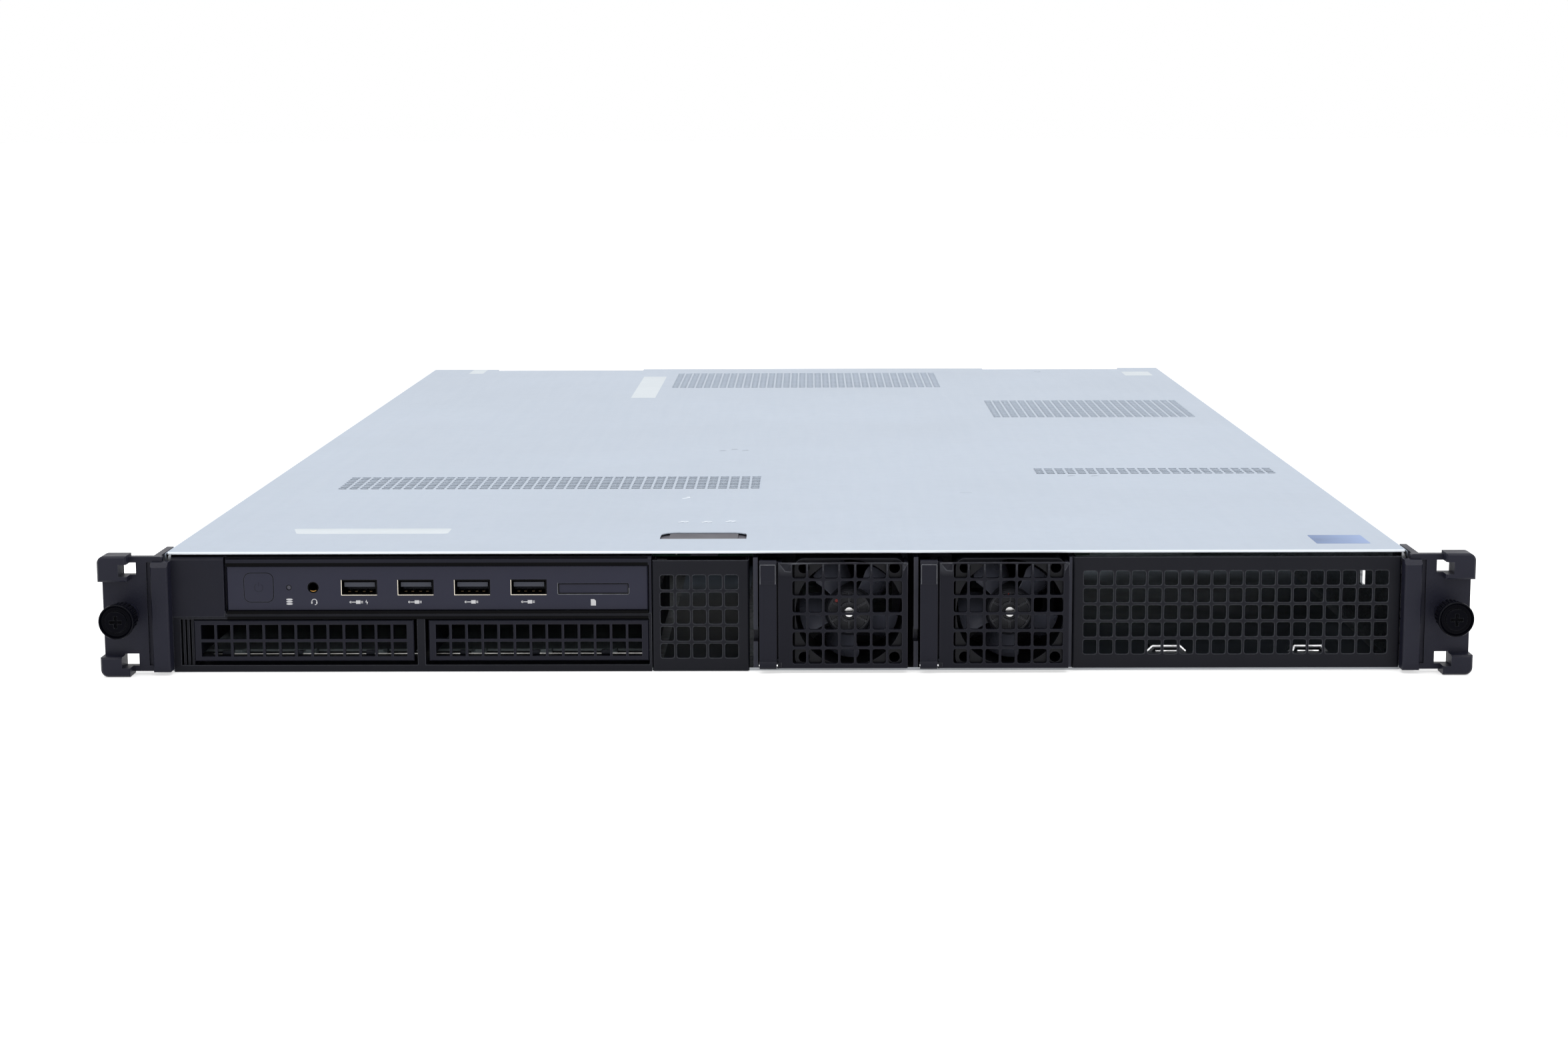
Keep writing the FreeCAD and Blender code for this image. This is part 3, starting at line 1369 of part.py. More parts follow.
def psu_latch(x):
    """Spring latch at the supply's side, with a thumb pad behind the rear face."""
    half = psu_width / 2
    x1 = x + half
    x0 = x1 - psu_latch_thickness
    y1 = psu_rear() + psu_latch_reach
    y0 = psu_rear() - psu_latch_length
    low = psu_latch_z - psu_latch_height / 2
    spots = [(x0, y0), (x1, y0), (x1, y1 - 3), (x1 - 2.6, y1), (x1 - 3.8, y1), (x0 - 0.2, y1 - 5), (x0, y1 - 8)]
    arm = prism(spots, "xy", low, psu_latch_height, 0)
    return arm


def psu_fan_rotor(x):
    """Small rotor behind the supply's guard."""
    fan_x = x + psu_fan_x
    z = psu_bottom + psu_height / 2
    y1 = psu_rear() - 2.6
    y0 = psu_rear() - psu_fan_depth
    hub = rod_y(fan_x, z, psu_hub_radius, y0 + 0.3, y1)
    tip = psu_fan_radius - fan_blade_clearance
    first = blade(fan_x, z, y0 + 4, y1 - 1.5, [psu_hub_radius - 0.8, tip], [fan_pitch_hub, fan_pitch_tip],
                  fan_blade_thickness)
    return fuse(hub, *blade_ring(first, fan_x, z, psu_fan_blades))


# ---- boards and inner pieces ----
def motherboard():
    """Main board on its standoffs."""
    x0 = -pan_inner + 2
    y0 = front_y + main_board_front
    y1 = rear_y - main_board_rear_gap
    board = block(x0, main_board_right, y0, y1, board_top - board_thickness, board_top)
    step_right = memory_places()[-1] + 6
    step_left = min(heatsink_x, main_board_right - 10)
    step = block(step_left, step_right, y0, heatsink_rear() + 60, board_top - board_thickness, board_top)
    return fuse(board, step)


def heatsink_rear():
    """Rear end of the processor's heatsink."""
    return front_y + heatsink_front + heatsink_length


def cpu_heatsink():
    """Finned block over the processor socket."""
    x0 = heatsink_x - heatsink_width / 2
    base_z = board_top + socket_height
    top = pan_top - pan_sheet - 1.0
    pitch = (heatsink_width - heatsink_fin) / (heatsink_fins - 1)
    spots = [(x0, base_z), (x0 + heatsink_width, base_z)]
    for index in range(heatsink_fins - 1, -1, -1):
        left = x0 + index * pitch
        spots.append((left + heatsink_fin, top))
        spots.append((left, top))
        if index:
            spots.append((left, base_z + heatsink_base))
            spots.append((left - pitch + heatsink_fin, base_z + heatsink_base))
    fins = prism(spots, "xz", front_y + heatsink_front, heatsink_length)
    socket = block(heatsink_x - 28, heatsink_x + 28, heatsink_rear() - heatsink_length / 2 - 34,
                   heatsink_rear() - heatsink_length / 2 + 34, board_top, base_z)
    return fuse(fins, socket)


def memory_places():
    """Middle x of the memory modules, on both sides of the heatsink."""
    places = []
    for side in (-1, 1):
        first = heatsink_x + side * (heatsink_width / 2 + 8)
        places += [first + side * i * memory_pitch for i in range(memory_count)]
    return places


def memory_modules():
    """Memory modules standing in their sockets."""
    modules = []
    y0 = front_y + heatsink_front - 12
    for x in memory_places():
        socket = block(x - 3.2, x + 3.2, y0 - 4, y0 + memory_length + 4, board_top, board_top + memory_socket_height)
        card = block(x - memory_thickness / 2, x + memory_thickness / 2, y0, y0 + memory_length,
                     board_top + memory_socket_height - 0.5, board_top + memory_height)
        modules.append(fuse(socket, card))
    return modules


def riser_bracket():
    """Folded bracket that carries the riser card over the main board."""
    x1 = slot_left + slot_cover_length + 8
    y0 = rear_y - 150
    y1 = rear_y - 16
    top = pan_top - pan_sheet - 0.8
    spots = [(x1, board_top), (x1 + cage_sheet, board_top), (x1 + cage_sheet, top), (x1 - 30, top),
             (x1 - 30, top - cage_sheet), (x1, top - cage_sheet)]
    return prism(spots, "xz", y0, y1 - y0, [0, 0, 1.2, 0, 0, 0.4])


def riser_card():
    """Riser board with its slot connectors, beside the bracket's wall."""
    x1 = slot_left + slot_cover_length + 8 - seat_gap
    y0 = rear_y - 145
    y1 = rear_y - 30
    board = block(x1 - board_thickness, x1, y0, y1, board_top, pan_top - pan_sheet - 2.5)
    slots = []
    for z in slot_levels():
        z0 = z + (slot_cover_height - riser_slot_height) / 2
        slots.append(block(x1 - board_thickness - 11, x1 - board_thickness, y0 + 10, y0 + 99, z0,
                           z0 + riser_slot_height))
    return fuse(board, *slots)


def rear_ports():
    """Socket shells at the rear edge of the main board."""
    shells = []
    for x, width, height in rear_port_places():
        y0 = rear_y - 22
        outer = block(x - width / 2, x + width / 2, y0, rear_y + 0.4, board_top, board_top + height)
        low = board_top + port_wall
        high = board_top + height - port_wall
        shell = outer.cut(block(x - width / 2 + port_wall, x + width / 2 - port_wall, y0 + 6, rear_y + 1, low, high))
        tongues = []
        if width > network_socket_width:
            rows = round(height / stacked_socket_height)
            for row in range(rows):
                middle = low + (high - low) * (row + 0.5) / rows
                tongues.append(block(x - width / 2 + 2.5, x + width / 2 - 2.5, y0 + 5, rear_y - 2, middle - 1,
                                     middle + 1))
            if rows > 1:
                divider = block(x - width / 2 + 0.3, x + width / 2 - 0.3, y0 + 5, rear_y, (low + high) / 2 - 0.6,
                                (low + high) / 2 + 0.6)
                tongues.append(divider)
            shell = fuse(shell, *tongues)
        shells.append(shell)
    return shells


def power_board():
    """Upright board that the power supplies plug into, with its two edge sockets."""
    y1 = psu_rear() - psu_length - 8
    centers = psu_centers()
    x0 = centers[-1] - psu_width / 2
    x1 = centers[0] + psu_width / 2
    board = block(x0, x1, y1 - board_thickness, y1, pan_sheet, pan_top - pan_sheet - 2)
    sockets = []
    for x in centers:
        sockets.append(block(x - 24, x + 24, y1, y1 + 7.8, psu_bottom + 6, psu_bottom + 14))
    return fuse(board, *sockets)


def air_baffle():
    """Moulded duct from the fans to the heatsink, narrowing towards it."""
    y0 = front_y + fan_cage_depth + 1
    y1 = front_y + main_board_front - 1
    x0 = fan_start
    x1 = fan_end
    inset = (fan_end - fan_start - heatsink_width) / 2 - 4
    top = pan_top - pan_sheet - 1.2
    outer = [(x0, y0), (x1, y0), (x1, y0 + 40), (x1 - inset, y0 + 80), (x1 - inset, y1), (x0 + inset, y1),
             (x0 + inset, y0 + 80), (x0, y0 + 40)]
    wall = baffle_sheet
    inner = [(x0 + wall, y0 - 1), (x1 - wall, y0 - 1), (x1 - wall, y0 + 40), (x1 - inset - wall, y0 + 80),
             (x1 - inset - wall, y1 + 1), (x0 + inset + wall, y1 + 1), (x0 + inset + wall, y0 + 80),
             (x0 + wall, y0 + 40)]
    duct = prism(outer, "xy", pan_sheet, top - pan_sheet)
    return duct.cut(prism(inner, "xy", pan_sheet - 1, top - pan_sheet - wall + 1))


def main():
    os.makedirs("parts", exist_ok=True)
    save("base_pan", base_pan())
    save("rear_panel", rear_panel())
    save("slot_covers", *slot_covers())
    save("bay_cage", bay_cage())
    save("bay_tray", *bay_tray())
    save("bay_backplane", bay_backplane())
    save("io_bezel", io_bezel())
    save("io_panel", io_panel())
    save("io_board", io_board())
    save("usb_shells", *usb_shells())
    save("usb_tongues", *usb_tongues())
    save("headset_jack", headset_jack())
    save("activity_light", activity_light())
    save("card_slot_blank", card_slot_blank())
    save("power_button", power_button())
    save("center_grille", center_grille())
    save("right_grille", right_grille())
    save("fan_cage", fan_cage())
    save("fan_sockets", *fan_sockets())
    save("top_cover", top_cover())
    save("cover_latch", cover_latch())
    for name, left in zip(("left", "right"), bay_lefts()):
        save("bay_filler_" + name, *bay_filler(left))
    for name, left in zip(("left", "right"), fan_lefts()):
        save("fan_frame_" + name, fan_frame(left))
        save("fan_housing_" + name, fan_housing(left))
        save("fan_rotor_" + name, fan_rotor(left))
        save("fan_lever_" + name, fan_lever(left))
        save("fan_lever_pin_" + name, fan_lever_pin(left))
    save("ear_right", right_ear())
    save("ear_left", mirrored(right_ear()))
    save("thumb_retainer_right", right_thumb_retainer())
    save("thumb_retainer_left", mirrored(right_thumb_retainer()))
    save("thumbscrew_right", right_thumbscrew())
    save("thumbscrew_left", mirrored(right_thumbscrew()))
    save("rail_studs", *rail_studs())
    for name, x in zip(("right", "left"), psu_centers()):
        save("psu_case_" + name, psu_case(x))
        save("psu_inlet_" + name, psu_inlet(x))
        save("psu_handle_" + name, psu_handle(x))
        save("psu_latch_" + name, psu_latch(x))
        save("psu_fan_rotor_" + name, psu_fan_rotor(x))
    save("motherboard", motherboard())
    save("cpu_heatsink", cpu_heatsink())
    save("memory_modules", *memory_modules())
    save("riser_bracket", riser_bracket())
    save("riser_card", riser_card())
    save("rear_ports", *rear_ports())
    save("power_board", power_board())
    save("air_baffle", air_baffle())


main()
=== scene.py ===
"""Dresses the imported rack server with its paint, mouldings, vents, fans, marks, light and camera.

Lengths are in metres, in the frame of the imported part: +X is right, +Z is up and the front faces -Y.
"""
import math

import bmesh
import bpy
from mathutils import Matrix, Vector
from mathutils.geometry import delaunay_2d_cdt


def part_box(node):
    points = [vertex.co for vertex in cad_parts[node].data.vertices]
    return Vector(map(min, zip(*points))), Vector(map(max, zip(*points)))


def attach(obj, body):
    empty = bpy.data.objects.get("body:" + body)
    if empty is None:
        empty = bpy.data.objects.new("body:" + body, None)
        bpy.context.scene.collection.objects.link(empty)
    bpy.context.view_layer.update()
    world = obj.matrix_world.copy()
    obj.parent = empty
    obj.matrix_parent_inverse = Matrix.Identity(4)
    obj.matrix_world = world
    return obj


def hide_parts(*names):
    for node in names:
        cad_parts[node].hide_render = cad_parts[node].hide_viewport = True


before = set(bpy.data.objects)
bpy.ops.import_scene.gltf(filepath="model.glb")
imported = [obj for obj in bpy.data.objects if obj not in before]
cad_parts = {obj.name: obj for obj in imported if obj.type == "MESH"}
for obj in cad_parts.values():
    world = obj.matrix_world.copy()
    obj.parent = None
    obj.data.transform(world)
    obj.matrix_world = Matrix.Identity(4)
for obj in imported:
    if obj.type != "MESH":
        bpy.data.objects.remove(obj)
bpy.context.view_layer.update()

bl_info = {
    "name": "Rack server",
    "version": (1, 0, 0),
    "blender": (4, 5, 0),
    "location": "3D View > Sidebar > Server",
    "description": "Builds the visible pieces, finishes and stage of a one-unit rack server",
    "category": "Object",
}

MM = 0.001
OWN = "server_"
SIDES = ("left", "right")
UP = Vector((0, 0, 1))
BACK = Vector((0, 1, 0))
RIGHT = Vector((1, 0, 0))
CELL = (4.75 * MM, 5.2 * MM)
PLATE_PITCH = (5.7 * MM, 6.16 * MM)
GUARD_PITCH = (5.64 * MM, 6.12 * MM)
SOCKET_COUNT = 4
SOCKET_PITCH = 20.05 * MM


# ---- settings ----
def colour(name, description, default):
    """Colour setting with the given starting value."""
    return bpy.props.FloatVectorProperty(name=name, description=description, default=default, size=3,
                                         min=0.0, max=1.0, subtype="COLOR")


def length(name, description, default):
    """Length setting in metres with the given starting value."""
    return bpy.props.FloatProperty(name=name, description=description, default=default, min=0.0,
                                   unit="LENGTH", precision=5)


def amount(name, description, default, unit="NONE"):
    """Number that isn't negative, with the given starting value."""
    return bpy.props.FloatProperty(name=name, description=description, default=default, min=0.0, unit=unit)


def turn(name, description, degrees):
    """Angle setting with the given starting value in degrees."""
    return bpy.props.FloatProperty(name=name, description=description, default=math.radians(degrees),
                                   unit="ROTATION")


class ServerFinishes(bpy.types.PropertyGroup):
    """Colours of the server's finishes"""
    cover_paint: colour("Cover paint", "Pale satin coat of the lid", (0.428, 0.494, 0.590))
    black_coat: colour("Black coat", "Powder coat of the front sheet metal", (0.0056, 0.0060, 0.0100))
    cast_black: colour("Ear black", "Textured coat of the rack ears", (0.0105, 0.0110, 0.0215))
    moulding: colour("Moulding", "Black moulded plastic", (0.0092, 0.0096, 0.0170))
    panel: colour("Input panel", "Blue-black moulded panel", (0.0190, 0.0197, 0.0370))
    latch: colour("Latch", "Grey-brown moulding of the catches", (0.066, 0.064, 0.080))
    zinc: colour("Zinc", "Zinc-plated sheet steel", (0.33, 0.345, 0.365))
    bright: colour("Bright steel", "Plated screws, studs and shells", (0.62, 0.62, 0.62))
    gold: colour("Dark gold", "Dark gold plating inside the sockets", (0.060, 0.042, 0.024))
    # Colour of the socket rims, which are put only on the sides that catch the light, as a painted
    # highlight.
    rim: colour("Socket rim", "Bright rolled rims of the sockets", (0.74, 0.68, 0.58))
    tongue: colour("Socket tongue", "Grey-blue moulding inside the sockets", (0.050, 0.055, 0.075))
    # The blades' glossy black, lightened as painted light for the dim light inside the fan housing.
    rotor: colour("Rotor", "Glossy plastic of the fan blades", (0.085, 0.090, 0.120))
    board: colour("Board", "Solder mask of the circuit boards", (0.012, 0.07, 0.035))
    mark: colour("Marks", "Printed pictograms", (0.62, 0.62, 0.64))
    faint: colour("Faint marks", "Grey underlines and scuffs on the lid", (0.33, 0.37, 0.43))
    label: colour("Label", "White paper label", (0.62, 0.67, 0.71))
    badge: colour("Badge", "Blue film of the blank badge", (0.16, 0.235, 0.42))


class ServerSizes(bpy.types.PropertyGroup):
    """Sizes of the visible detail"""
    sheet: length("Cover sheet", "Thickness of the lid's sheet", 0.62 * MM)
    bend: length("Cover bend", "Outer radius of the lid's folds", 1.2 * MM)
    nose: length("Cover nose", "Radius of the lid's rolled front edge", 0.45 * MM)
    vent: length("Vent cell", "Side of one square vent in the lid", 3.5 * MM)
    vent_pitch_x: length("Vent pitch across", "Spacing of the lid's vents across", 4.49 * MM)
    vent_pitch_y: length("Vent pitch along", "Spacing of the lid's vents along", 4.8 * MM)
    cell_corner: length("Cell corner", "Corner radius of the front plates' cells", 0.8 * MM)
    edge: length("Edge rounding", "Rounding of the fan carriers' edges", 0.2 * MM)
    print_height: length("Print height", "How far printed marks stand proud", 0.03 * MM)


class ServerStage(bpy.types.PropertyGroup):
    """Floor, lamps and camera"""
    floor: length("Floor", "Side of the pale floor", 40.0)
    world_strength: amount("World", "Strength of the pale surroundings", 0.55)
    key_power: amount("Key lamp", "Power of the large lamp overhead", 26.0, "POWER")
    front_power: amount("Front lamp", "Power of the lamp in front", 5.0, "POWER")
    camera_place: bpy.props.FloatVectorProperty(name="Camera", description="Place of the camera", size=3,
                                                default=(0.00923, -1.27951, 0.19496), subtype="TRANSLATION",
                                                unit="LENGTH")
    camera_yaw: turn("Camera yaw", "Turn to the right", -0.581)
    camera_pitch: turn("Camera pitch", "Tilt downwards", 8.617)
    camera_roll: turn("Camera roll", "Turn about the view", -0.219)
    lens: bpy.props.FloatProperty(name="Lens", description="Focal length for a 36 mm wide sensor",
                                  default=61.62, min=1.0, unit="CAMERA")


# ---- materials ----
def new_node(tree, kind, values=None, links=None):
    """Shader node with some inputs set to values and others linked to sockets."""
    node = tree.nodes.new("ShaderNode" + kind)
    for name, value in (values or {}).items():
        node.inputs[name].default_value = value
    for name, socket in (links or {}).items():
        tree.links.new(socket, node.inputs[name])
    return node


def fresh_material(name, values=None):
    """Node material with plain values on its shader, and a source of object coordinates."""
    material = bpy.data.materials.new(OWN + name)
    material.use_nodes = True
    tree = material.node_tree
    shader = tree.nodes["Principled BSDF"]
    for socket, value in (values or {}).items():
        shader.inputs[socket].default_value = value
    return material, tree, shader, new_node(tree, "TexCoord").outputs["Object"]


def stretched(tree, places, scale):
    """Coordinates scaled by their own factor along each axis."""
    return new_node(tree, "Mapping", {"Scale": scale}, {"Vector": places}).outputs["Vector"]


def noise(tree, places, scale, detail=3.0, roughness=0.55):
    """Noise pattern of so many cycles in a metre."""
    values = {"Scale": scale, "Detail": detail, "Roughness": roughness}
    return new_node(tree, "TexNoise", values, {"Vector": places}).outputs["Fac"]


def spread(tree, value, low, high, start=0.3, end=0.7):
    """Value mapped from one span to another; the usual first span is that of noise."""
    values = {"From Min": start, "From Max": end, "To Min": low, "To Max": high}
    return new_node(tree, "MapRange", values, {"Value": value}).outputs["Result"]


def blended(tree, factor, first, second):
    """Colour between two colours, each a plain one or a socket."""
    node = new_node(tree, "Mix")
    node.data_type = "RGBA"
    tree.links.new(factor, node.inputs["Factor"])
    first_colour, second_colour = node.inputs[6], node.inputs[7]
    for socket, value in ((first_colour, first), (second_colour, second)):
        if isinstance(value, bpy.types.NodeSocket):
            tree.links.new(value, socket)
        else:
            socket.default_value = (*value, 1.0)
    mixed_colour = node.outputs[2]
    return mixed_colour


def bumped(tree, shader, height, depth, before=None):
    """Bump of a real depth, on top of an earlier one."""
    node = new_node(tree, "Bump", {"Distance": depth}, {"Height": height})
    if before is not None:
        tree.links.new(before, node.inputs["Normal"])
    tree.links.new(node.outputs["Normal"], shader.inputs["Normal"])
    return node.outputs["Normal"]


def shaded(base, share):
    """Colour made lighter or darker by a share."""
    return tuple(min(1.0, max(0.0, part * (1.0 + share))) for part in base)


def axis_position(tree, places, axis):
    """One coordinate of the object's own space."""
    return new_node(tree, "SeparateXYZ", None, {"Vector": places}).outputs[axis]


def edge_highlight_mask(tree, radius):
    """Mask that is 1 along sharp edges within a radius of them, and 0 on the flats."""
    bevel = new_node(tree, "Bevel", {"Radius": radius})
    bevel.samples = 4
    surface = new_node(tree, "NewGeometry")
    normals = {0: bevel.outputs["Normal"], 1: surface.outputs["True Normal"]}
    compare = new_node(tree, "VectorMath", None, normals)
    compare.operation = "DOT_PRODUCT"
    edge, flat = 0.82, 0.99
    return spread(tree, compare.outputs["Value"], 1.0, 0.0, edge, flat)


def coated(name, base, roughness, mottle=0.08, mottle_scale=18.0, grain_scale=2600.0, grain_depth=0.00002,
           polish=0.06, gloss=0.5, edge=None, highlight_width=0.16 * MM):
    """Painted or moulded surface: slow colour mottle, fine grain, uneven polish, and paler edges as a
    painted highlight where sharp edges would catch the light.
    """
    material, tree, shader, places = fresh_material(name, {"Specular IOR Level": gloss})
    slow = noise(tree, places, mottle_scale, 4.0)
    tone = blended(tree, spread(tree, slow, 0.0, 1.0), shaded(base, -mottle), shaded(base, mottle))
    # The edge colour is a painted highlight laid along the sharp edges.
    if edge:
        tone = blended(tree, edge_highlight_mask(tree, highlight_width), tone, edge)
    tree.links.new(tone, shader.inputs["Base Color"])
    patchy = noise(tree, places, mottle_scale * 5)
    tree.links.new(spread(tree, patchy, roughness - polish, roughness + polish), shader.inputs["Roughness"])
    bumped(tree, shader, noise(tree, places, grain_scale, 2.0), grain_depth)
    return material


def cover_paint_finish(base):
    """Satin metallic coat of the lid with faint cloudiness, rolling lines and rubbed streaks."""
    material, tree, shader, places = fresh_material("cover_paint", {"Metallic": 0.15})
    clouds = noise(tree, places, 9.0, 6.0, 0.6)
    specks = noise(tree, places, 160.0, 4.0, 0.7)
    tone = blended(tree, spread(tree, clouds, 0.0, 1.0), shaded(base, -0.035), shaded(base, 0.03))
    tone = blended(tree, spread(tree, specks, 0.0, 0.35, 0.45, 0.8), tone, shaded(base, -0.10))
    tree.links.new(tone, shader.inputs["Base Color"])
    rubbed = noise(tree, stretched(tree, places, (220.0, 14.0, 1.0)), 1.0, 4.0)
    tree.links.new(spread(tree, rubbed, 0.40, 0.44), shader.inputs["Roughness"])
    first = bumped(tree, shader, noise(tree, places, 26.0, 2.0), 0.00012)
    bumped(tree, shader, noise(tree, places, 1500.0, 2.0), 0.000012, first)
    return material


def brushed_finish(name, base, roughness, scale=(40.0, 900.0, 900.0)):
    """Plated or rolled metal with a directional grain."""
    material, tree, shader, places = fresh_material(name, {"Metallic": 1.0})
    grain = noise(tree, stretched(tree, places, scale), 1.0, 4.0)
    clouds = noise(tree, places, 45.0, 4.0)
    tone = blended(tree, spread(tree, clouds, 0.0, 1.0), shaded(base, -0.12), shaded(base, 0.08))
    tree.links.new(tone, shader.inputs["Base Color"])
    tree.links.new(spread(tree, grain, roughness - 0.08, roughness + 0.1), shader.inputs["Roughness"])
    bumped(tree, shader, grain, 0.000015)
    return material


def board_finish(base):
    """Solder mask with a fine lattice of copper tracks and pads under it."""
    material, tree, shader, places = fresh_material("board", {"Roughness": 0.38})
    tracks = new_node(tree, "TexBrick", {
        "Scale": 160.0,
        "Color1": (*shaded(base, 0.35), 1.0),
        "Color2": (*base, 1.0),
        "Mortar": (*shaded(base, -0.45), 1.0),
        "Mortar Size": 0.08,
    }, {"Vector": places})
    pads = new_node(tree, "TexVoronoi", {"Scale": 330.0}, {"Vector": places})
    dots = spread(tree, pads.outputs["Distance"], 1.0, 0.0, 0.10, 0.16)
    tone = blended(tree, dots, tracks.outputs["Color"], (0.35, 0.33, 0.28))
    tree.links.new(tone, shader.inputs["Base Color"])
    bumped(tree, shader, tracks.outputs["Fac"], 0.00003)
    return material


def badge_finish(base):
    """Blue film that fades from deep to light across its width."""
    values = {"Roughness": 0.45, "Specular IOR Level": 0.2}
    material, tree, shader, places = fresh_material("badge_film", values)
    low, high = badge_span()
    across = spread(tree, axis_position(tree, places, "X"), 0.0, 1.0, low, high)
    cloudy = noise(tree, places, 120.0, 2.0)
    tone = blended(tree, across, shaded(base, -0.25), (0.27, 0.36, 0.58))
    tone = blended(tree, spread(tree, cloudy, 0.0, 0.25), tone, shaded(base, 0.6))
    tree.links.new(tone, shader.inputs["Base Color"])
    return material


def painted_depth_light_film(name, near, far):
    """Insulating film with faint broad clouds, paler further in from the front as painted light that makes
    up for the light falling off inside.
    """
    material, tree, shader, places = fresh_material(name, {"Roughness": 0.5})
    front, rear = -0.33, -0.18
    # Paler with depth: painted light that stands in for the light reaching far inside.
    depth = spread(tree, axis_position(tree, places, "Y"), 0.0, 1.0, front, rear)
    clouds = spread(tree, noise(tree, places, 22.0), 0.0, 0.75, 0.4, 0.6)
    tone = blended(tree, clouds, blended(tree, depth, near, far), near)
    tree.links.new(tone, shader.inputs["Base Color"])
    return material


def metals(tint):
    """Settings of the bare and plated metals."""
    fine = (300.0, 300.0, 1500.0)
    rolled = (700.0, 200.0, 700.0)
    return {
        "zinc_steel": dict(base=tint["zinc"], roughness=0.32),
        "bright_steel": dict(base=tint["bright"], roughness=0.28, scale=fine),
        "polished": dict(base=(0.86, 0.87, 0.88), roughness=0.16, scale=fine),
        "tray_steel": dict(base=(0.38, 0.375, 0.36), roughness=0.22, scale=fine),
        "aluminium": dict(base=tint["bright"], roughness=0.36),
        "gold_plate": dict(base=tint["gold"], roughness=0.30, scale=rolled),
        "contact_gold": dict(base=(0.62, 0.33, 0.09), roughness=0.30, scale=rolled),
        "socket_rim": dict(base=tint["rim"], roughness=0.30, scale=rolled),
    }


def coats(tint):
    """Settings of the painted sheet metal, castings, mouldings, prints and paper."""
    sheet = dict(base=tint["black_coat"], roughness=0.46, grain_scale=1500.0, grain_depth=0.00003)
    moulded = dict(base=tint["moulding"], roughness=0.44, grain_scale=2200.0, gloss=0.14)
    return {
        # Near-white: a painted highlight on the lid's rolled nose, and the print of the lid's pale signs.
        "cover_edge": dict(base=(0.86, 0.92, 0.98), roughness=0.35, mottle=0.02),
        # The edge colours below are painted highlights along sharp edges; grille_steel's are paler and
        # wider, and hub_plastic's are wide enough to light the hub's ribs whole.
        "black_steel": dict(sheet, gloss=0.14, edge=(0.11, 0.115, 0.130), highlight_width=0.28 * MM),
        "grille_steel": dict(sheet, gloss=0.14, edge=(0.19, 0.20, 0.225), highlight_width=0.34 * MM),
        # A lighter copy of the black coat: painted light that makes up for the shade the recessed fan cage
        # sits in.
        "cage_steel": dict(sheet, base=shaded(tint["black_coat"], 3.5), roughness=0.42, gloss=0.3,
                           edge=(0.10, 0.105, 0.12)),
        "cast_black": dict(base=tint["cast_black"], roughness=0.44, grain_scale=1000.0, grain_depth=0.00006,
                           gloss=0.19, edge=(0.060, 0.063, 0.075)),
        "screw_black": dict(base=(0.0014, 0.0015, 0.0034), roughness=0.30, grain_depth=0.000004, gloss=0.03,
                            edge=(0.075, 0.077, 0.085)),
        "black_plastic": dict(moulded, edge=(0.070, 0.073, 0.088)),
        "guard_plastic": dict(moulded, base=shaded(tint["moulding"], -0.28), gloss=0.12,
                              edge=(0.085, 0.088, 0.103), highlight_width=0.2 * MM),
        # Near-black painted shade for the shadow gaps, the socket shells and the headset jack, whose own
        # black moulding shares it.
        "gap_black": dict(base=(0.0025, 0.0025, 0.003), roughness=0.6, gloss=0.05),
        # Pale finish for the painted highlights on the card slot's lip and the levers' thumb tabs.
        "worn_plastic": dict(base=(0.13, 0.135, 0.15), roughness=0.4, mottle=0.5, mottle_scale=400.0),
        "panel_plastic": dict(base=tint["panel"], roughness=0.40, grain_scale=3200.0, grain_depth=0.000012,
                              gloss=0.2, edge=(0.095, 0.10, 0.125)),
        "lamp": dict(base=shaded(tint["panel"], 0.25), roughness=0.2),
        "latch_plastic": dict(base=tint["latch"], roughness=0.50, grain_scale=1800.0, gloss=0.22),
        "tongue_plastic": dict(base=tint["tongue"], roughness=0.4, gloss=0.3),
        "gloss_plastic": dict(base=tint["rotor"], roughness=0.30, grain_depth=0.000004, polish=0.05,
                              gloss=0.7, edge=(0.16, 0.17, 0.21)),
        "hub_plastic": dict(base=shaded(tint["rotor"], -0.84), roughness=0.42, gloss=0.2,
                            edge=(0.16, 0.165, 0.19), highlight_width=0.25 * MM),
        "gloss_black": dict(base=shaded(tint["rotor"], -0.905), roughness=0.34, gloss=0.12,
                            edge=(0.10, 0.105, 0.125)),
        "red_wire": dict(base=(0.30, 0.012, 0.010), roughness=0.45),
        "mark_print": dict(base=tint["mark"], roughness=0.55),
        "power_print": dict(base=shaded(tint["panel"], -0.35), roughness=0.5, gloss=0.2),
        "faint_print": dict(base=tint["faint"], roughness=0.55),
        "label_paper": dict(base=tint["label"], roughness=0.60, mottle=0.03),
    }


def build_materials():
    """All finishes by name, from the scene's colour settings."""
    settings = bpy.context.scene.server_finishes
    tint = {name: tuple(getattr(settings, name)) for name in ServerFinishes.__annotations__}
    made = {
        "cover_paint": cover_paint_finish(tint["cover_paint"]),
        "board": board_finish(tint["board"]),
        "badge_film": badge_finish(tint["badge"]),
        # The films' far colours are far paler than their near ones: painted light for the light reaching
        # deep inside the chassis.
        "right_film": painted_depth_light_film("right_film", (0.028, 0.035, 0.048), (0.24, 0.28, 0.33)),
        "centre_film": painted_depth_light_film("centre_film", (0.013, 0.017, 0.024), (0.045, 0.058, 0.078)),
        "tray_film": painted_depth_light_film("tray_film", (0.26, 0.31, 0.33), (0.70, 0.75, 0.78)),
    }
    made.update({name: brushed_finish(name, **values) for name, values in metals(tint).items()})
    made.update({name: coated(name, **values) for name, values in coats(tint).items()})
    return made


def finish(name):
    """A finish by name, made with the others when the first is asked for."""
    found = bpy.data.materials.get(OWN + name)
    return found or build_materials()[name]


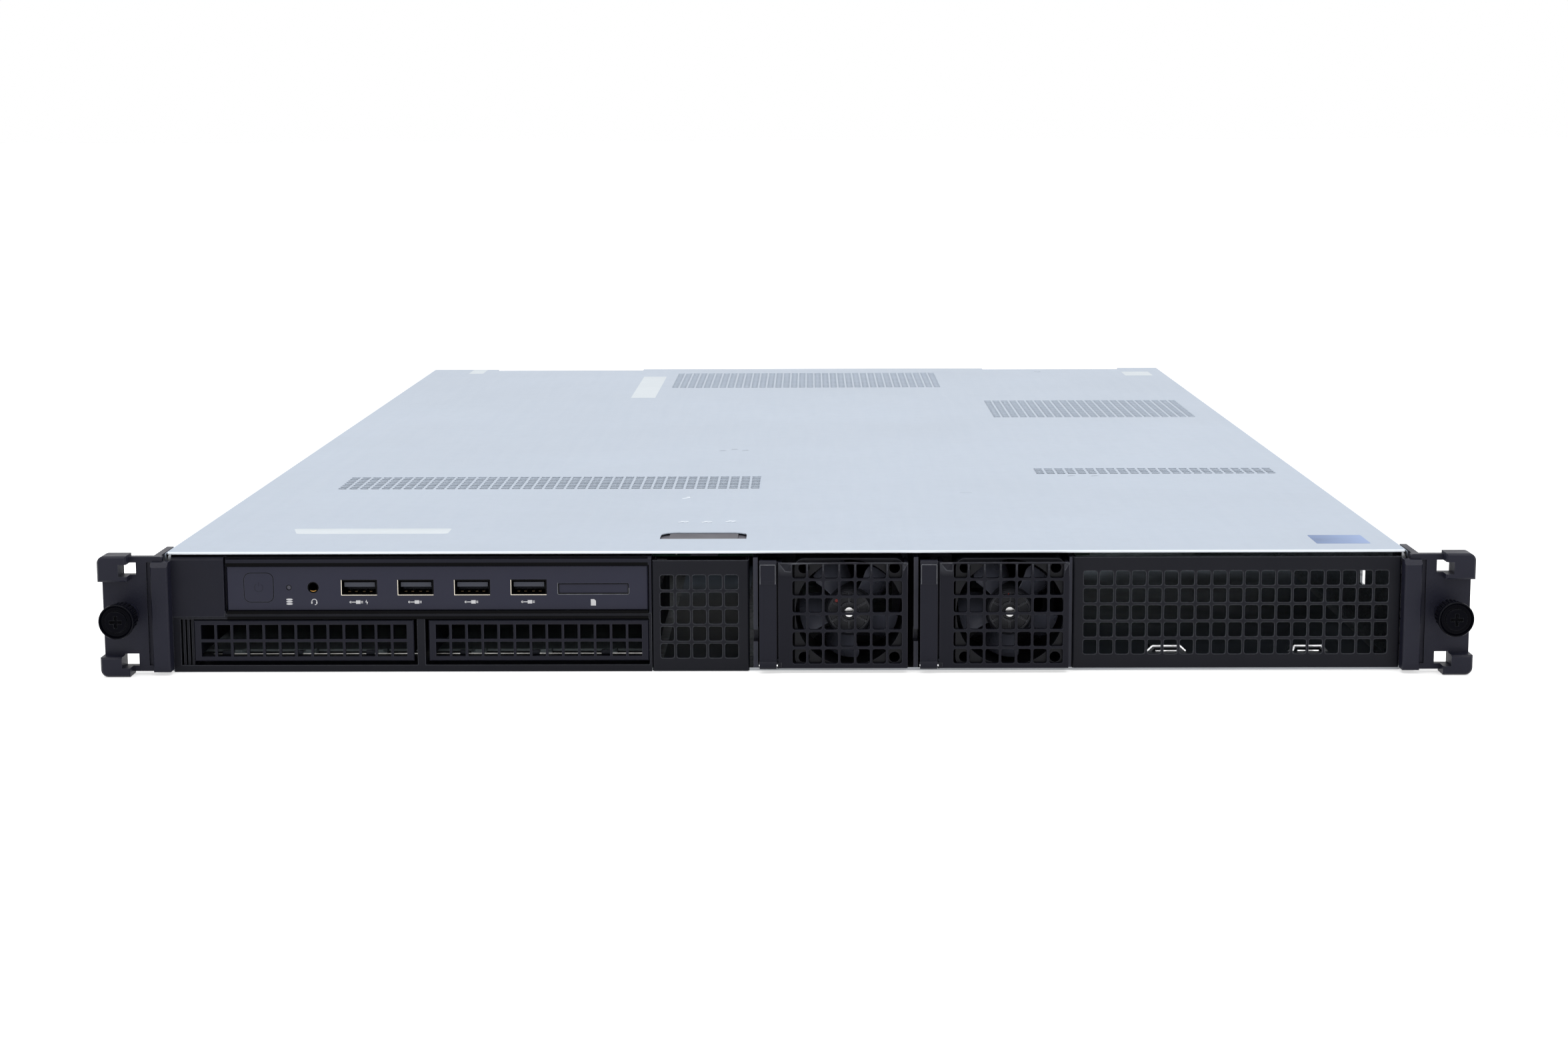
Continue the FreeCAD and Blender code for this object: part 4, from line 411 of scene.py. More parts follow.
# ---- objects and modifiers ----
def new_object(name, data):
    """Object that is linked to the scene."""
    made = bpy.data.objects.new(name, data)
    bpy.context.scene.collection.objects.link(made)
    return made


def add_piece(name, bm, body, material, smooth=True):
    """Object from a finished bmesh, riding on its body."""
    mesh = bpy.data.meshes.new(name)
    bm.to_mesh(mesh)
    bm.free()
    mesh.materials.append(finish(material))
    if smooth:
        mesh.polygons.foreach_set("use_smooth", [True] * len(mesh.polygons))
    piece = new_object(name, mesh)
    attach(piece, body)
    return piece


def add_solid(name, bm, body, material, smooth=False):
    """Piece from closed solids, with every face turned outwards."""
    bmesh.ops.recalc_face_normals(bm, faces=bm.faces[:])
    return add_piece(name, bm, body, material, smooth)


def add_sheet(name, bm, body, material, outward):
    """Piece from an open sheet, with its largest flat turned outwards."""
    bmesh.ops.recalc_face_normals(bm, faces=bm.faces[:])
    flat = max(bm.faces, key=lambda face: face.calc_area())
    if flat.normal.dot(outward) < 0:
        bmesh.ops.reverse_faces(bm, faces=bm.faces[:])
    return add_piece(name, bm, body, material)


def keep_sharp(piece, degrees):
    """Keeps the edges sharp that turn by more than an angle."""
    piece.data.set_sharp_from_angle(angle=math.radians(degrees))


def even_shading(piece):
    """Keeps flats flat beside rounded edges."""
    piece.modifiers.new("shading", "WEIGHTED_NORMAL").keep_sharp = True


def round_edges(piece, width, segments=2, clamp=True):
    """Rounds a piece's sharp edges and keeps the shading of its flats even."""
    bevel = piece.modifiers.new("rounding", "BEVEL")
    bevel.width = width
    bevel.segments = segments
    bevel.limit_method = "ANGLE"
    bevel.angle_limit = math.radians(40.0)
    bevel.use_clamp_overlap = clamp
    even_shading(piece)


def thicken(piece, thickness, inner=None):
    """Gives a skin its sheet thickness, inwards from the drawn face, with its own finish inside."""
    solid = piece.modifiers.new("sheet", "SOLIDIFY")
    if inner:
        piece.data.materials.append(finish(inner))
        solid.material_offset = len(piece.data.materials) - 1
    solid.thickness = thickness
    solid.offset = -1.0
    solid.use_even_offset = True


def dress(node, material, width=0.0, segments=2):
    """Gives a carried-over CAD node its finish, and rounds its edges by a modifier."""
    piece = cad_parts[node]
    piece.data.materials.clear()
    piece.data.materials.append(finish(material))
    piece.data.polygons.foreach_set("use_smooth", [True] * len(piece.data.polygons))
    if width:
        merge = piece.modifiers.new("flats", "DECIMATE")
        merge.decimate_type = "DISSOLVE"
        merge.angle_limit = math.radians(0.6)
        round_edges(piece, width, segments)
    else:
        keep_sharp(piece, 35.0)


# ---- outlines ----
def spaced(start, pitch, count):
    """Evenly spaced values."""
    return [start + index * pitch for index in range(count)]


def swept_angles(start, end, steps):
    """Angles from start to end, given in degrees and returned in radians."""
    return [math.radians(start + (end - start) * step / steps) for step in range(steps + 1)]


def rounded_ring(u0, u1, v0, v1, corner, steps):
    """Corner-by-corner points of a rounded rectangle, anticlockwise from its lower left."""
    if corner <= 0:
        return [[(u0, v0)], [(u1, v0)], [(u1, v1)], [(u0, v1)]]
    centres = ((u0 + corner, v0 + corner, 180), (u1 - corner, v0 + corner, 270),
               (u1 - corner, v1 - corner, 0), (u0 + corner, v1 - corner, 90))
    return [[(cu + corner * math.cos(t), cv + corner * math.sin(t))
             for t in swept_angles(start, start + 90, steps)]
            for cu, cv, start in centres]


def rounded_outline(u0, u1, v0, v1, corner, steps):
    """All points of a rounded rectangle in one list."""
    return [spot for part in rounded_ring(u0, u1, v0, v1, corner, steps) for spot in part]


def rectangle_outline(u0, u1, v0, v1):
    """Corner points of a rectangle."""
    return [(u0, v0), (u1, v0), (u1, v1), (u0, v1)]


def oval(u, v, half_width, half_height, steps=16):
    """Outline of an oval."""
    turns = [math.tau * step / steps for step in range(steps)]
    return [(u + half_width * math.cos(t), v + half_height * math.sin(t)) for t in turns]


def strip(u0, v0, u1, v1, width):
    """Outline of a straight stroke between two points."""
    run = math.hypot(u1 - u0, v1 - v0)
    du = -(v1 - v0) / run * width / 2
    dv = (u1 - u0) / run * width / 2
    return [(u0 + du, v0 + dv), (u0 - du, v0 - dv), (u1 - du, v1 - dv), (u1 + du, v1 + dv)]


def spoke(angle, near, far, width):
    """Outline of a straight stroke out from the origin, between two radii."""
    du, dv = math.cos(angle), math.sin(angle)
    return strip(near * du, near * dv, far * du, far * dv, width)


def arc_strokes(cu, cv, radius, start, end, width, steps=8):
    """Short strokes that follow an arc, angles in degrees."""
    spots = [(cu + radius * math.cos(t), cv + radius * math.sin(t))
             for t in swept_angles(start, end, steps)]
    return [strip(*a, *b, width) for a, b in zip(spots, spots[1:])]


def in_mm(outlines, u=0.0, v=0.0):
    """Outlines drawn in millimetres, turned into metres and moved to a place in metres."""
    return [[(u + a * MM, v + b * MM) for a, b in outline] for outline in outlines]


# ---- meshes ----
def join_rows(bm, rows, closed=True):
    """Faces between neighbouring rows of vertices, round closed rows or along open ones."""
    made = []
    for first, second in zip(rows, rows[1:]):
        for index in range(len(first) if closed else len(first) - 1):
            after = (index + 1) % len(first)
            made.append(bm.faces.new((first[index], first[after], second[after], second[index])))
    return made


def fold(bm, row, profile, outward, onward):
    """Faces of a bend swept from a row of edge vertices; the profile holds its steps outward and onward."""
    rows = [row]
    for out, on in profile:
        rows.append([bm.verts.new(vert.co + outward * out + onward * on) for vert in row])
    return join_rows(bm, rows, closed=False)


def bend_profile(radius, steps, degrees=90.0):
    """Quarter or half round as (outward, onward) steps."""
    return [(radius * math.sin(t), radius * (1 - math.cos(t))) for t in swept_angles(0, degrees, steps)[1:]]


def solid_prism(bm, points, push):
    """Closed prism from a flat outline pushed along a vector."""
    low = [bm.verts.new(point) for point in points]
    high = [bm.verts.new(point + push) for point in points]
    bm.faces.new(low[::-1])
    bm.faces.new(high)
    join_rows(bm, [low, high])


def upright_prism(bm, outline, x, y, z, depth):
    """Prism from an outline that faces forwards, drawn about (x, z) and pushed back from y."""
    solid_prism(bm, [Vector((x + u, y, z + v)) for u, v in outline], BACK * depth)


def box_solid(bm, x0, x1, y0, y1, z0, z1):
    """Plain block inside a larger piece."""
    upright_prism(bm, rectangle_outline(x0, x1, z0, z1), 0, y0, 0, y1 - y0)


def add_blocks(name, blocks, body, material, smooth=False):
    """Piece made of blocks, each given by its ends along x, y and z."""
    bm = bmesh.new()
    for block in blocks:
        box_solid(bm, *block)
    return add_solid(name, bm, body, material, smooth)


def turned_solid(bm, profile, x, z, steps):
    """Solid of revolution about the Y line through (x, z), from (radius, y) points that end on the axis."""
    rings = [[bm.verts.new((x + u, y, z + v)) for u, v in oval(0, 0, radius, radius, steps)]
             for radius, y in profile[1:-1]]
    join_rows(bm, rings)
    for (_, y), ring in ((profile[0], rings[0]), (profile[-1], rings[-1])):
        tip = bm.verts.new((x, y, z))
        for first, second in zip(ring, ring[1:] + ring[:1]):
            bm.faces.new((tip, first, second))


def pierced_grid(bm, put, lefts, bottoms, width, height, corner=0.0, border=None):
    """Flat grid with one hole in each square, and plain strips out to the border if there is one."""
    corner_steps = 3
    web_u = (lefts[1] - lefts[0] - width) / 2
    web_v = (bottoms[1] - bottoms[0] - height) / 2
    us = [left - web_u for left in lefts] + [lefts[-1] + width + web_u]
    vs = [bottom - web_v for bottom in bottoms] + [bottoms[-1] + height + web_v]
    pad = 0
    if border:
        us = [border[0]] + us + [border[1]]
        vs = [border[2]] + vs + [border[3]]
        pad = 1
    knots = [[bm.verts.new(put(u, v)) for v in vs] for u in us]
    for i in range(len(us) - 1):
        for j in range(len(vs) - 1):
            corners = (knots[i][j], knots[i + 1][j], knots[i + 1][j + 1], knots[i][j + 1])
            col = i - pad
            row = j - pad
            if not (0 <= col < len(lefts) and 0 <= row < len(bottoms)):
                bm.faces.new(corners)
                continue
            left, bottom = lefts[col], bottoms[row]
            ring = rounded_ring(left, left + width, bottom, bottom + height, corner, corner_steps)
            made = [[bm.verts.new(put(u, v)) for u, v in part] for part in ring]
            for side in range(4):
                after = (side + 1) % 4
                bm.faces.new((corners[side], corners[after], made[after][0], made[side][-1]))
                for first, second in zip(made[side], made[side][1:]):
                    bm.faces.new((corners[side], second, first))
    return knots


def inside(loop, x, y):
    """Whether a point lies inside a closed loop of vertices."""
    within = False
    for first, second in zip(loop, loop[1:] + loop[:1]):
        a, b = first.co, second.co
        if (a.y > y) != (b.y > y) and x < a.x + (y - a.y) * (b.x - a.x) / (b.y - a.y):
            within = not within
    return within


def fill_between(bm, loops, level):
    """Faces that fill the flat region between an outer loop and the holes in it."""
    tolerance = 1e-7
    fill_inside_outline = 1
    source = [vert for loop in loops for vert in loop]
    spots = [vert.co.xy for vert in source]
    edges = []
    for loop in loops:
        start = len(edges)
        edges += [(start + index, start + (index + 1) % len(loop)) for index in range(len(loop))]
    made, _, faces, origin, _, _ = delaunay_2d_cdt(spots, edges, [], fill_inside_outline, tolerance)
    verts = [source[old[0]] if old else bm.verts.new((spot.x, spot.y, level))
             for spot, old in zip(made, origin)]
    for face in faces:
        corners = [verts[index] for index in face]
        x = sum(corner.co.x for corner in corners) / len(corners)
        y = sum(corner.co.y for corner in corners) / len(corners)
        if not any(inside(hole, x, y) for hole in loops[1:]):
            bm.faces.new(corners)


def node_middle(node):
    """Middle (x, z) of a CAD node's box."""
    low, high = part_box(node)
    return (low.x + high.x) / 2, (low.z + high.z) / 2


def print_marks(name, outlines, put, normal, body, material):
    """Thin printed marks: closed outlines on a plane, raised by the print height."""
    height = bpy.context.scene.server_sizes.print_height
    bm = bmesh.new()
    for outline in outlines:
        solid_prism(bm, [put(u, v) for u, v in outline], normal * height)
    add_solid(name, bm, body, material)


def print_front(name, outlines, y, body, material="mark_print"):
    """Printed marks that face forwards, drawn in (x, z) at one depth."""
    print_marks(name, outlines, lambda u, v: Vector((u, y, v)), -BACK, body, material)


# ---- the lid ----
def badge_span():
    """Left and right x of the blank badge on the lid."""
    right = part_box("top_cover")[1].x - 10.2 * MM
    return right - 19.3 * MM, right


def vent_groups(low, high):
    """Vent fields of the lid as (left x, front y, columns, rows)."""
    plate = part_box("right_grille")[0].x
    return [(low.x + 33.3 * MM, low.y + 161.5 * MM, 39, 8),
            (low.x + 150.25 * MM, high.y - 113.8 * MM, 34, 18),
            (plate + 0.6 * MM, high.y - 267.5 * MM, 23, 17),
            (plate + 4.1 * MM, low.y + 204.5 * MM, 23, 4)]


def latch_opening():
    """Outline of the catch's opening: square in front, well rounded behind."""
    lip_low, lip_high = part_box("cover_latch")
    inset = 2.0 * MM
    corner = 6.0 * MM
    u0, u1 = lip_low.x + inset, lip_high.x - inset
    v0, v1 = lip_low.y + inset, lip_high.y - inset
    rounds = ((u1 - corner, 0), (u0 + corner, 90))
    rear = [(u + corner * math.cos(t), v1 - corner + corner * math.sin(t))
            for u, start in rounds for t in swept_angles(start, start + 90, 6)]
    return [(u0, v0), (u1, v0)] + rear


def cover_outline(low, high, sizes):
    """Flat part of the lid's outline, anticlockwise from its front left corner."""
    left = low.x + sizes.bend
    right = high.x - sizes.bend
    front = low.y + sizes.nose
    notch = high.y - 7.0 * MM
    cutouts = ((113.0 * MM, 195.0 * MM), (-180.0 * MM, -92.0 * MM))
    spots = [(left, front), (right, front), (right, high.y)]
    for x0, x1 in cutouts:
        spots += [(x1, high.y), (x1, notch), (x0, notch), (x0, high.y)]
    return spots + [(left, high.y)]


def label_recess(bm, low, level):
    """Rim of the long shallow recess in the lid, and its sloped floor in near-white label paper, a painted
    reflection of the light on its sloped walls.
    """
    long, wide = 58.5 * MM, 12.5 * MM
    left, front = low.x + 36.3 * MM, low.y + 41.6 * MM
    slope = 1.1 * MM
    depth = 0.5 * MM
    front_slant, slant_change = 2.7 * MM, 3.2 * MM
    rim = []
    floor = []
    for u, v in rounded_outline(left, left + long, front, front + wide, 1.5 * MM, 3):
        in_left_half = u < left + long / 2
        if in_left_half:
            u += front_slant - slant_change * (v - front) / wide
        du = slope if in_left_half else -slope
        dv = slope if v < front + wide / 2 else -slope
        rim.append(bm.verts.new((u, v, level)))
        floor.append(bm.verts.new((u + du, v + dv, level - depth)))
    # The floor and slopes take the white label paper: a painted reflection of the light the sloped walls
    # catch.
    for face in [bm.faces.new(floor)] + join_rows(bm, [rim, floor]):
        face.material_index = 2
    return rim


class SERVER_OT_cover(bpy.types.Operator):
    """Build the lid with its square vents, folds, rolled front, catch opening and label recess"""
    bl_idname = "server.cover"
    bl_label = "Lid"

    def execute(self, context):
        sizes = context.scene.server_sizes
        low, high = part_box("top_cover")
        level = high.z - sizes.print_height
        bm = bmesh.new()

        def put(u, v):
            return (u, v, level)

        outer = [bm.verts.new(put(u, v)) for u, v in cover_outline(low, high, sizes)]
        loops = [outer]
        for left, front, cols, rows in vent_groups(low, high):
            knots = pierced_grid(bm, put, spaced(left, sizes.vent_pitch_x, cols),
                                 spaced(front, sizes.vent_pitch_y, rows), sizes.vent, sizes.vent)
            bottom = [column[0] for column in knots]
            top = [column[-1] for column in knots[-2::-1]]
            loops.append(bottom + knots[-1][1:] + top + knots[0][-2:0:-1])
        loops.append([bm.verts.new(put(u, v)) for u, v in latch_opening()])
        loops.append(label_recess(bm, low, level))
        fill_between(bm, loops, level)
        flange = bend_profile(sizes.bend, 5) + [(sizes.bend, level - low.z)]
        fold(bm, [outer[0], outer[-1]], flange, -RIGHT, -UP)
        fold(bm, [outer[2], outer[1]], flange, RIGHT, -UP)
        roll = bend_profile(sizes.nose, 8, 180.0) + [(-4.0 * MM, 2 * sizes.nose)]
        # The rolled nose takes the near-white finish: a painted highlight along the lid's front edge.
        for face in fold(bm, [outer[1], outer[0]], roll, -BACK, -UP):
            face.material_index = 1
        cover = add_sheet("lid", bm, "cover", "cover_paint", UP)
        cover.data.materials.append(finish("cover_edge"))
        cover.data.materials.append(finish("label_paper"))
        keep_sharp(cover, 25.0)
        thicken(cover, sizes.sheet, "zinc_steel")
        even_shading(cover)
        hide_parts("top_cover")
        return {"FINISHED"}


class SERVER_OT_lid_marks(bpy.types.Operator):
    """Add the lid's blank badge, blank label, patches and faint pictograms"""
    bl_idname = "server.lid_marks"
    bl_label = "Lid marks"

    def execute(self, context):
        low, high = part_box("top_cover")
        level = high.z - context.scene.server_sizes.print_height

        def place(name, outlines, material):
            """Marks drawn as (x, distance back from the lid's front edge)."""
            print_marks(name, outlines, lambda u, v: Vector((u, low.y + v, level)), UP, "cover", material)

        left, right = badge_span()
        place("lid_badge", [rounded_outline(left, right, 14.0 * MM, 33.5 * MM, 0.6 * MM, 3)], "badge_film")
        sheets = [rectangle_outline(-88.8, -75.5, 522.0, 642.0),
                  rectangle_outline(-195.0, -186.5, 663.0, 688.0),
                  rectangle_outline(194.5, 210.5, 641.0, 665.0)]
        place("lid_labels", in_mm(sheets), "label_paper")
        bar_sign = [strip(-1.9, -1.2, 0.2, 1.2, 0.7), strip(0.3, -1.1, 1.9, 1.0, 0.6),
                    strip(-0.9, 1.5, 1.4, 1.5, 0.5)]
        underline = [strip(-2.0, -2.1, 2.0, -2.1, 0.5)]
        scuff = [strip(-1.6, -0.8, 1.6, 0.8, 0.7), strip(-1.2, 1.4, 1.0, 1.6, 0.6)]
        arrow = [strip(-2.2, -2.0, 1.4, 2.4, 0.8), strip(1.4, 2.4, -0.6, 2.6, 0.7)]
        tick = [strip(-1.8, 1.5, 0.0, -1.5, 0.8), strip(0.0, -1.5, 1.8, 1.5, 0.8)]
        scratch = [strip(-2.6, 0.3, 2.4, -0.3, 0.3)]
        sign_places = ((-39.0, 69.3), (-30.1, 69.1), (-21.1, 70.3))
        scuff_places = ((-31.0, 287.0), (-25.8, 291.6), (-20.7, 287.7), (119.8, 197.6), (129.9, 197.4))
        pale = [(bar_sign, spot) for spot in sign_places] + [(arrow, (-40.2, 133.4))]
        grey = [(underline, spot) for spot in sign_places] + [(scuff, spot) for spot in scuff_places]
        grey += [(tick, (144.9, 666.4)), (scratch, (72.4, 147.3))]
        # The pale signs share the nose's near-white finish, here as print.
        for name, marks, material in (("lid_signs", pale, "cover_edge"),
                                      ("lid_underlines", grey, "faint_print")):
            shapes = [shape for sign, (u, v) in marks for shape in in_mm(sign, u * MM, v * MM)]
            place(name, shapes, material)
        return {"FINISHED"}


class SERVER_OT_latch(bpy.types.Operator):
    """Finish the lid's catch"""
    bl_idname = "server.latch"
    bl_label = "Catch"

    def execute(self, context):
        dress("cover_latch", "latch_plastic", 0.2 * MM)
        return {"FINISHED"}


# ---- front plates ----
def front_plate(name, node, margin, bottom, cols):
    """Folded plate with five rows of rounded cells, drawn over the CAD plate's own box."""
    rows = 5
    bend = 0.9 * MM
    depth = 10.0 * MM
    sizes = bpy.context.scene.server_sizes
    low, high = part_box(node)
    bm = bmesh.new()
    knots = pierced_grid(bm, lambda u, v: (u, low.y, v), spaced(low.x + margin, PLATE_PITCH[0], cols),
                         spaced(low.z + bottom, PLATE_PITCH[1], rows), *CELL, sizes.cell_corner,
                         (low.x + bend, high.x - bend, low.z, high.z))
    profile = bend_profile(bend, 4) + [(bend, depth)]
    fold(bm, knots[0], profile, -RIGHT, BACK)
    fold(bm, knots[-1], profile, RIGHT, BACK)
    plate = add_sheet(name, bm, "chassis", "grille_steel", -BACK)
    thicken(plate, 1.2 * MM)
    round_edges(plate, 0.15 * MM, clamp=False)
    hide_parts(node)


class SERVER_OT_front_plates(bpy.types.Operator):
    """Build the two folded plates with square cells"""
    bl_idname = "server.front_plates"
    bl_label = "Front plates"

    def execute(self, context):
        front_plate("centre_plate", "center_grille", 2.92 * MM, 4.75 * MM, 5)
        low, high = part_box("right_grille")
        margin = 3.82 * MM
        cols = int((high.x - low.x - 2 * margin + PLATE_PITCH[0] - CELL[0]) / PLATE_PITCH[0])
        front_plate("right_plate", "right_grille", margin, 5.05 * MM, cols)
        return {"FINISHED"}


# ---- chassis and drive bays ----
class SERVER_OT_sheet_metal(bpy.types.Operator):
    """Finish the plated chassis, boards and hidden pieces, and add the liners and bare bridge edges"""
    bl_idname = "server.sheet_metal"
    bl_label = "Chassis and boards"

    def execute(self, context):
        for node in ("base_pan", "rear_panel", "slot_covers", "riser_bracket"):
            dress(node, "zinc_steel", 0.15 * MM)
        dress("fan_cage", "cage_steel", 0.15 * MM)
        self.liners()
        self.bridge_wear()
        for node in ("motherboard", "memory_modules", "riser_card", "power_board", "bay_backplane",
                     "io_board"):
            dress(node, "board")
        for node in ("rail_studs", "rear_ports"):
            dress(node, "bright_steel", 0.12 * MM)
        dress("cpu_heatsink", "aluminium")
        dress("air_baffle", "black_plastic", 0.2 * MM)
        dress("fan_sockets", "black_plastic")
        return {"FINISHED"}

    def liners(self):
        """Thin insulating sheets that lie on the pan's floor behind the ventilated plates."""
        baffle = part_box("air_baffle")[0]
        inset, setback, reach, corner = 3 * MM, 14 * MM, 180 * MM, 4 * MM
        thickness = 0.2 * MM
        for place, node in (("centre", "center_grille"), ("right", "right_grille")):
            low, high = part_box(node)
            outline = rounded_outline(low.x + inset, high.x - inset, low.y + setback, baffle.y + reach,
                                      corner, 4)
            bm = bmesh.new()
            solid_prism(bm, [Vector((u, v, baffle.z)) for u, v in outline], UP * thickness)
            # The liners' colour grows paler with depth: painted light.
            add_solid(place + "_liner", bm, "chassis", place + "_film")

    def bridge_wear(self):
        """Bright bare edges of the two low bridges that are pushed up from the pan's floor."""
        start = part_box("right_grille")[0]
        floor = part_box("air_baffle")[0].z
        setback = 27.4 * MM
        lean = 0.2
        half, top, low = 5.0, 2.3, 0.5
        bm = bmesh.new()
        for reach, foot in ((37.0, 7.0), (88.6, 5.4)):
            path = [(-foot, low), (-half, top), (half, top), (foot, low)]
            lines = [strip(*first, *second, 0.5) for first, second in zip(path, path[1:])]
            lines.append(strip(-3.9, 0.55, 3.9, 0.55, 0.4))
            for line in lines:
                solid_prism(bm, [Vector((start.x + (reach + u) * MM, start.y + setback + v * lean * MM,
                                         floor + v * MM)) for u, v in line], BACK * 0.6 * MM)
        add_solid("bridge_edges", bm, "chassis", "polished")


class SERVER_OT_bays(bpy.types.Operator):
    """Finish the drive bays' frame and ventilated blanks, and add the tray's lip and studs"""
    bl_idname = "server.bays"
    bl_label = "Drive bays"

    def execute(self, context):
        dress("bay_cage", "black_steel", 0.2 * MM)
        # The tray's film grows paler with depth: painted light for the light falling off under the bays.
        dress("bay_tray", "tray_film", 0.12 * MM)
        low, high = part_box("bay_tray")
        front = low.y - 0.2 * MM
        line = low.z + 0.25 * MM
        self.tray_lip(low.x, high.x, front, line)
        stud_width = 3.2 * MM
        lefts = [low.x + reach * MM - stud_width / 2 for reach in (13.0, 39.2, 65.4, 99.6, 125.4, 151.0)]
        studs = [(left, left + stud_width, front - 0.3 * MM, front + 1.0 * MM,
                  line - 0.3 * MM, line + 1.3 * MM) for left in lefts]
        round_edges(add_blocks("tray_studs", studs, "chassis", "tongue_plastic", smooth=True), 0.3 * MM)
        for side in SIDES:
            dress("bay_filler_" + side, "black_plastic", 0.22 * MM)
        return {"FINISHED"}

    def tray_lip(self, left, right, front, line):
        """Bright lip along the tray's front edge with short tabs below it, leaned back a little."""
        lean = 0.06 * MM
        depth = 0.3 * MM
        tab_width = 5.0 * MM
        strips = [(left + 8 * MM, right - 2 * MM, line - 0.14 * MM, line + 0.14 * MM)]
        for reach in (24.8, 57.5, 109.5, 141.0):
            tab = left + reach * MM
            strips.append((tab, tab + tab_width, line - 0.75 * MM, line - 0.45 * MM))
        bm = bmesh.new()
        for x0, x1, z0, z1 in strips:
            section = [(front, z0), (front + lean, z1), (front + depth, z1), (front + depth, z0)]
            solid_prism(bm, [Vector((x0, y, z)) for y, z in section], RIGHT * (x1 - x0))
        add_solid("tray_lip", bm, "chassis", "tray_steel")


# ---- input panel ----
def disk_sign(u, v):
    """Stack of three flat disks."""
    return [oval(u, v + rise, 1.15, 0.33) for rise in (-0.8, 0.0, 0.8)]


def headset_sign(u, v):
    """Headband with two ear pads and a short boom."""
    return (arc_strokes(u, v, 0.9, 0, 180, 0.28) +
            [rectangle_outline(u - 1.1, u - 0.65, v - 0.75, v + 0.1),
             rectangle_outline(u + 0.65, u + 1.1, v - 0.75, v + 0.1),
             strip(u + 0.8, v - 0.9, u + 0.15, v - 1.15, 0.26)])


def plug_sign(u, v):
    """Cable with a plug at one end."""
    return [strip(u - 2.3, v, u - 0.4, v, 0.3), rectangle_outline(u - 0.4, u + 1.2, v - 0.62, v + 0.62),
            rectangle_outline(u + 1.35, u + 2.1, v + 0.12, v + 0.38),
            rectangle_outline(u + 1.35, u + 2.1, v - 0.38, v - 0.12), oval(u - 2.3, v, 0.42, 0.42, 8)]


def bolt_sign(u, v):
    """Small lightning bolt."""
    return [[(u - 0.1, v + 0.95), (u - 0.5, v - 0.1), (u + 0.05, v - 0.05)],
            [(u + 0.1, v - 0.95), (u + 0.5, v + 0.1), (u - 0.05, v + 0.05)]]


def card_sign(u, v):
    """Memory card with a cut corner."""
    return [[(u - 0.9, v - 1.15), (u + 0.9, v - 1.15), (u + 0.9, v + 0.55), (u + 0.3, v + 1.15),
             (u - 0.9, v + 1.15)]]


def button_middle():
    """Middle (x, z) of the power button's cap."""
    return node_middle("power_button")[0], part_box("power_button")[0].z + 5.7 * MM


def card_slot_middle():
    """Middle (x, z) of the card slot."""
    return node_middle("card_slot_blank")[0] + 0.4 * MM, button_middle()[1] - 0.6 * MM


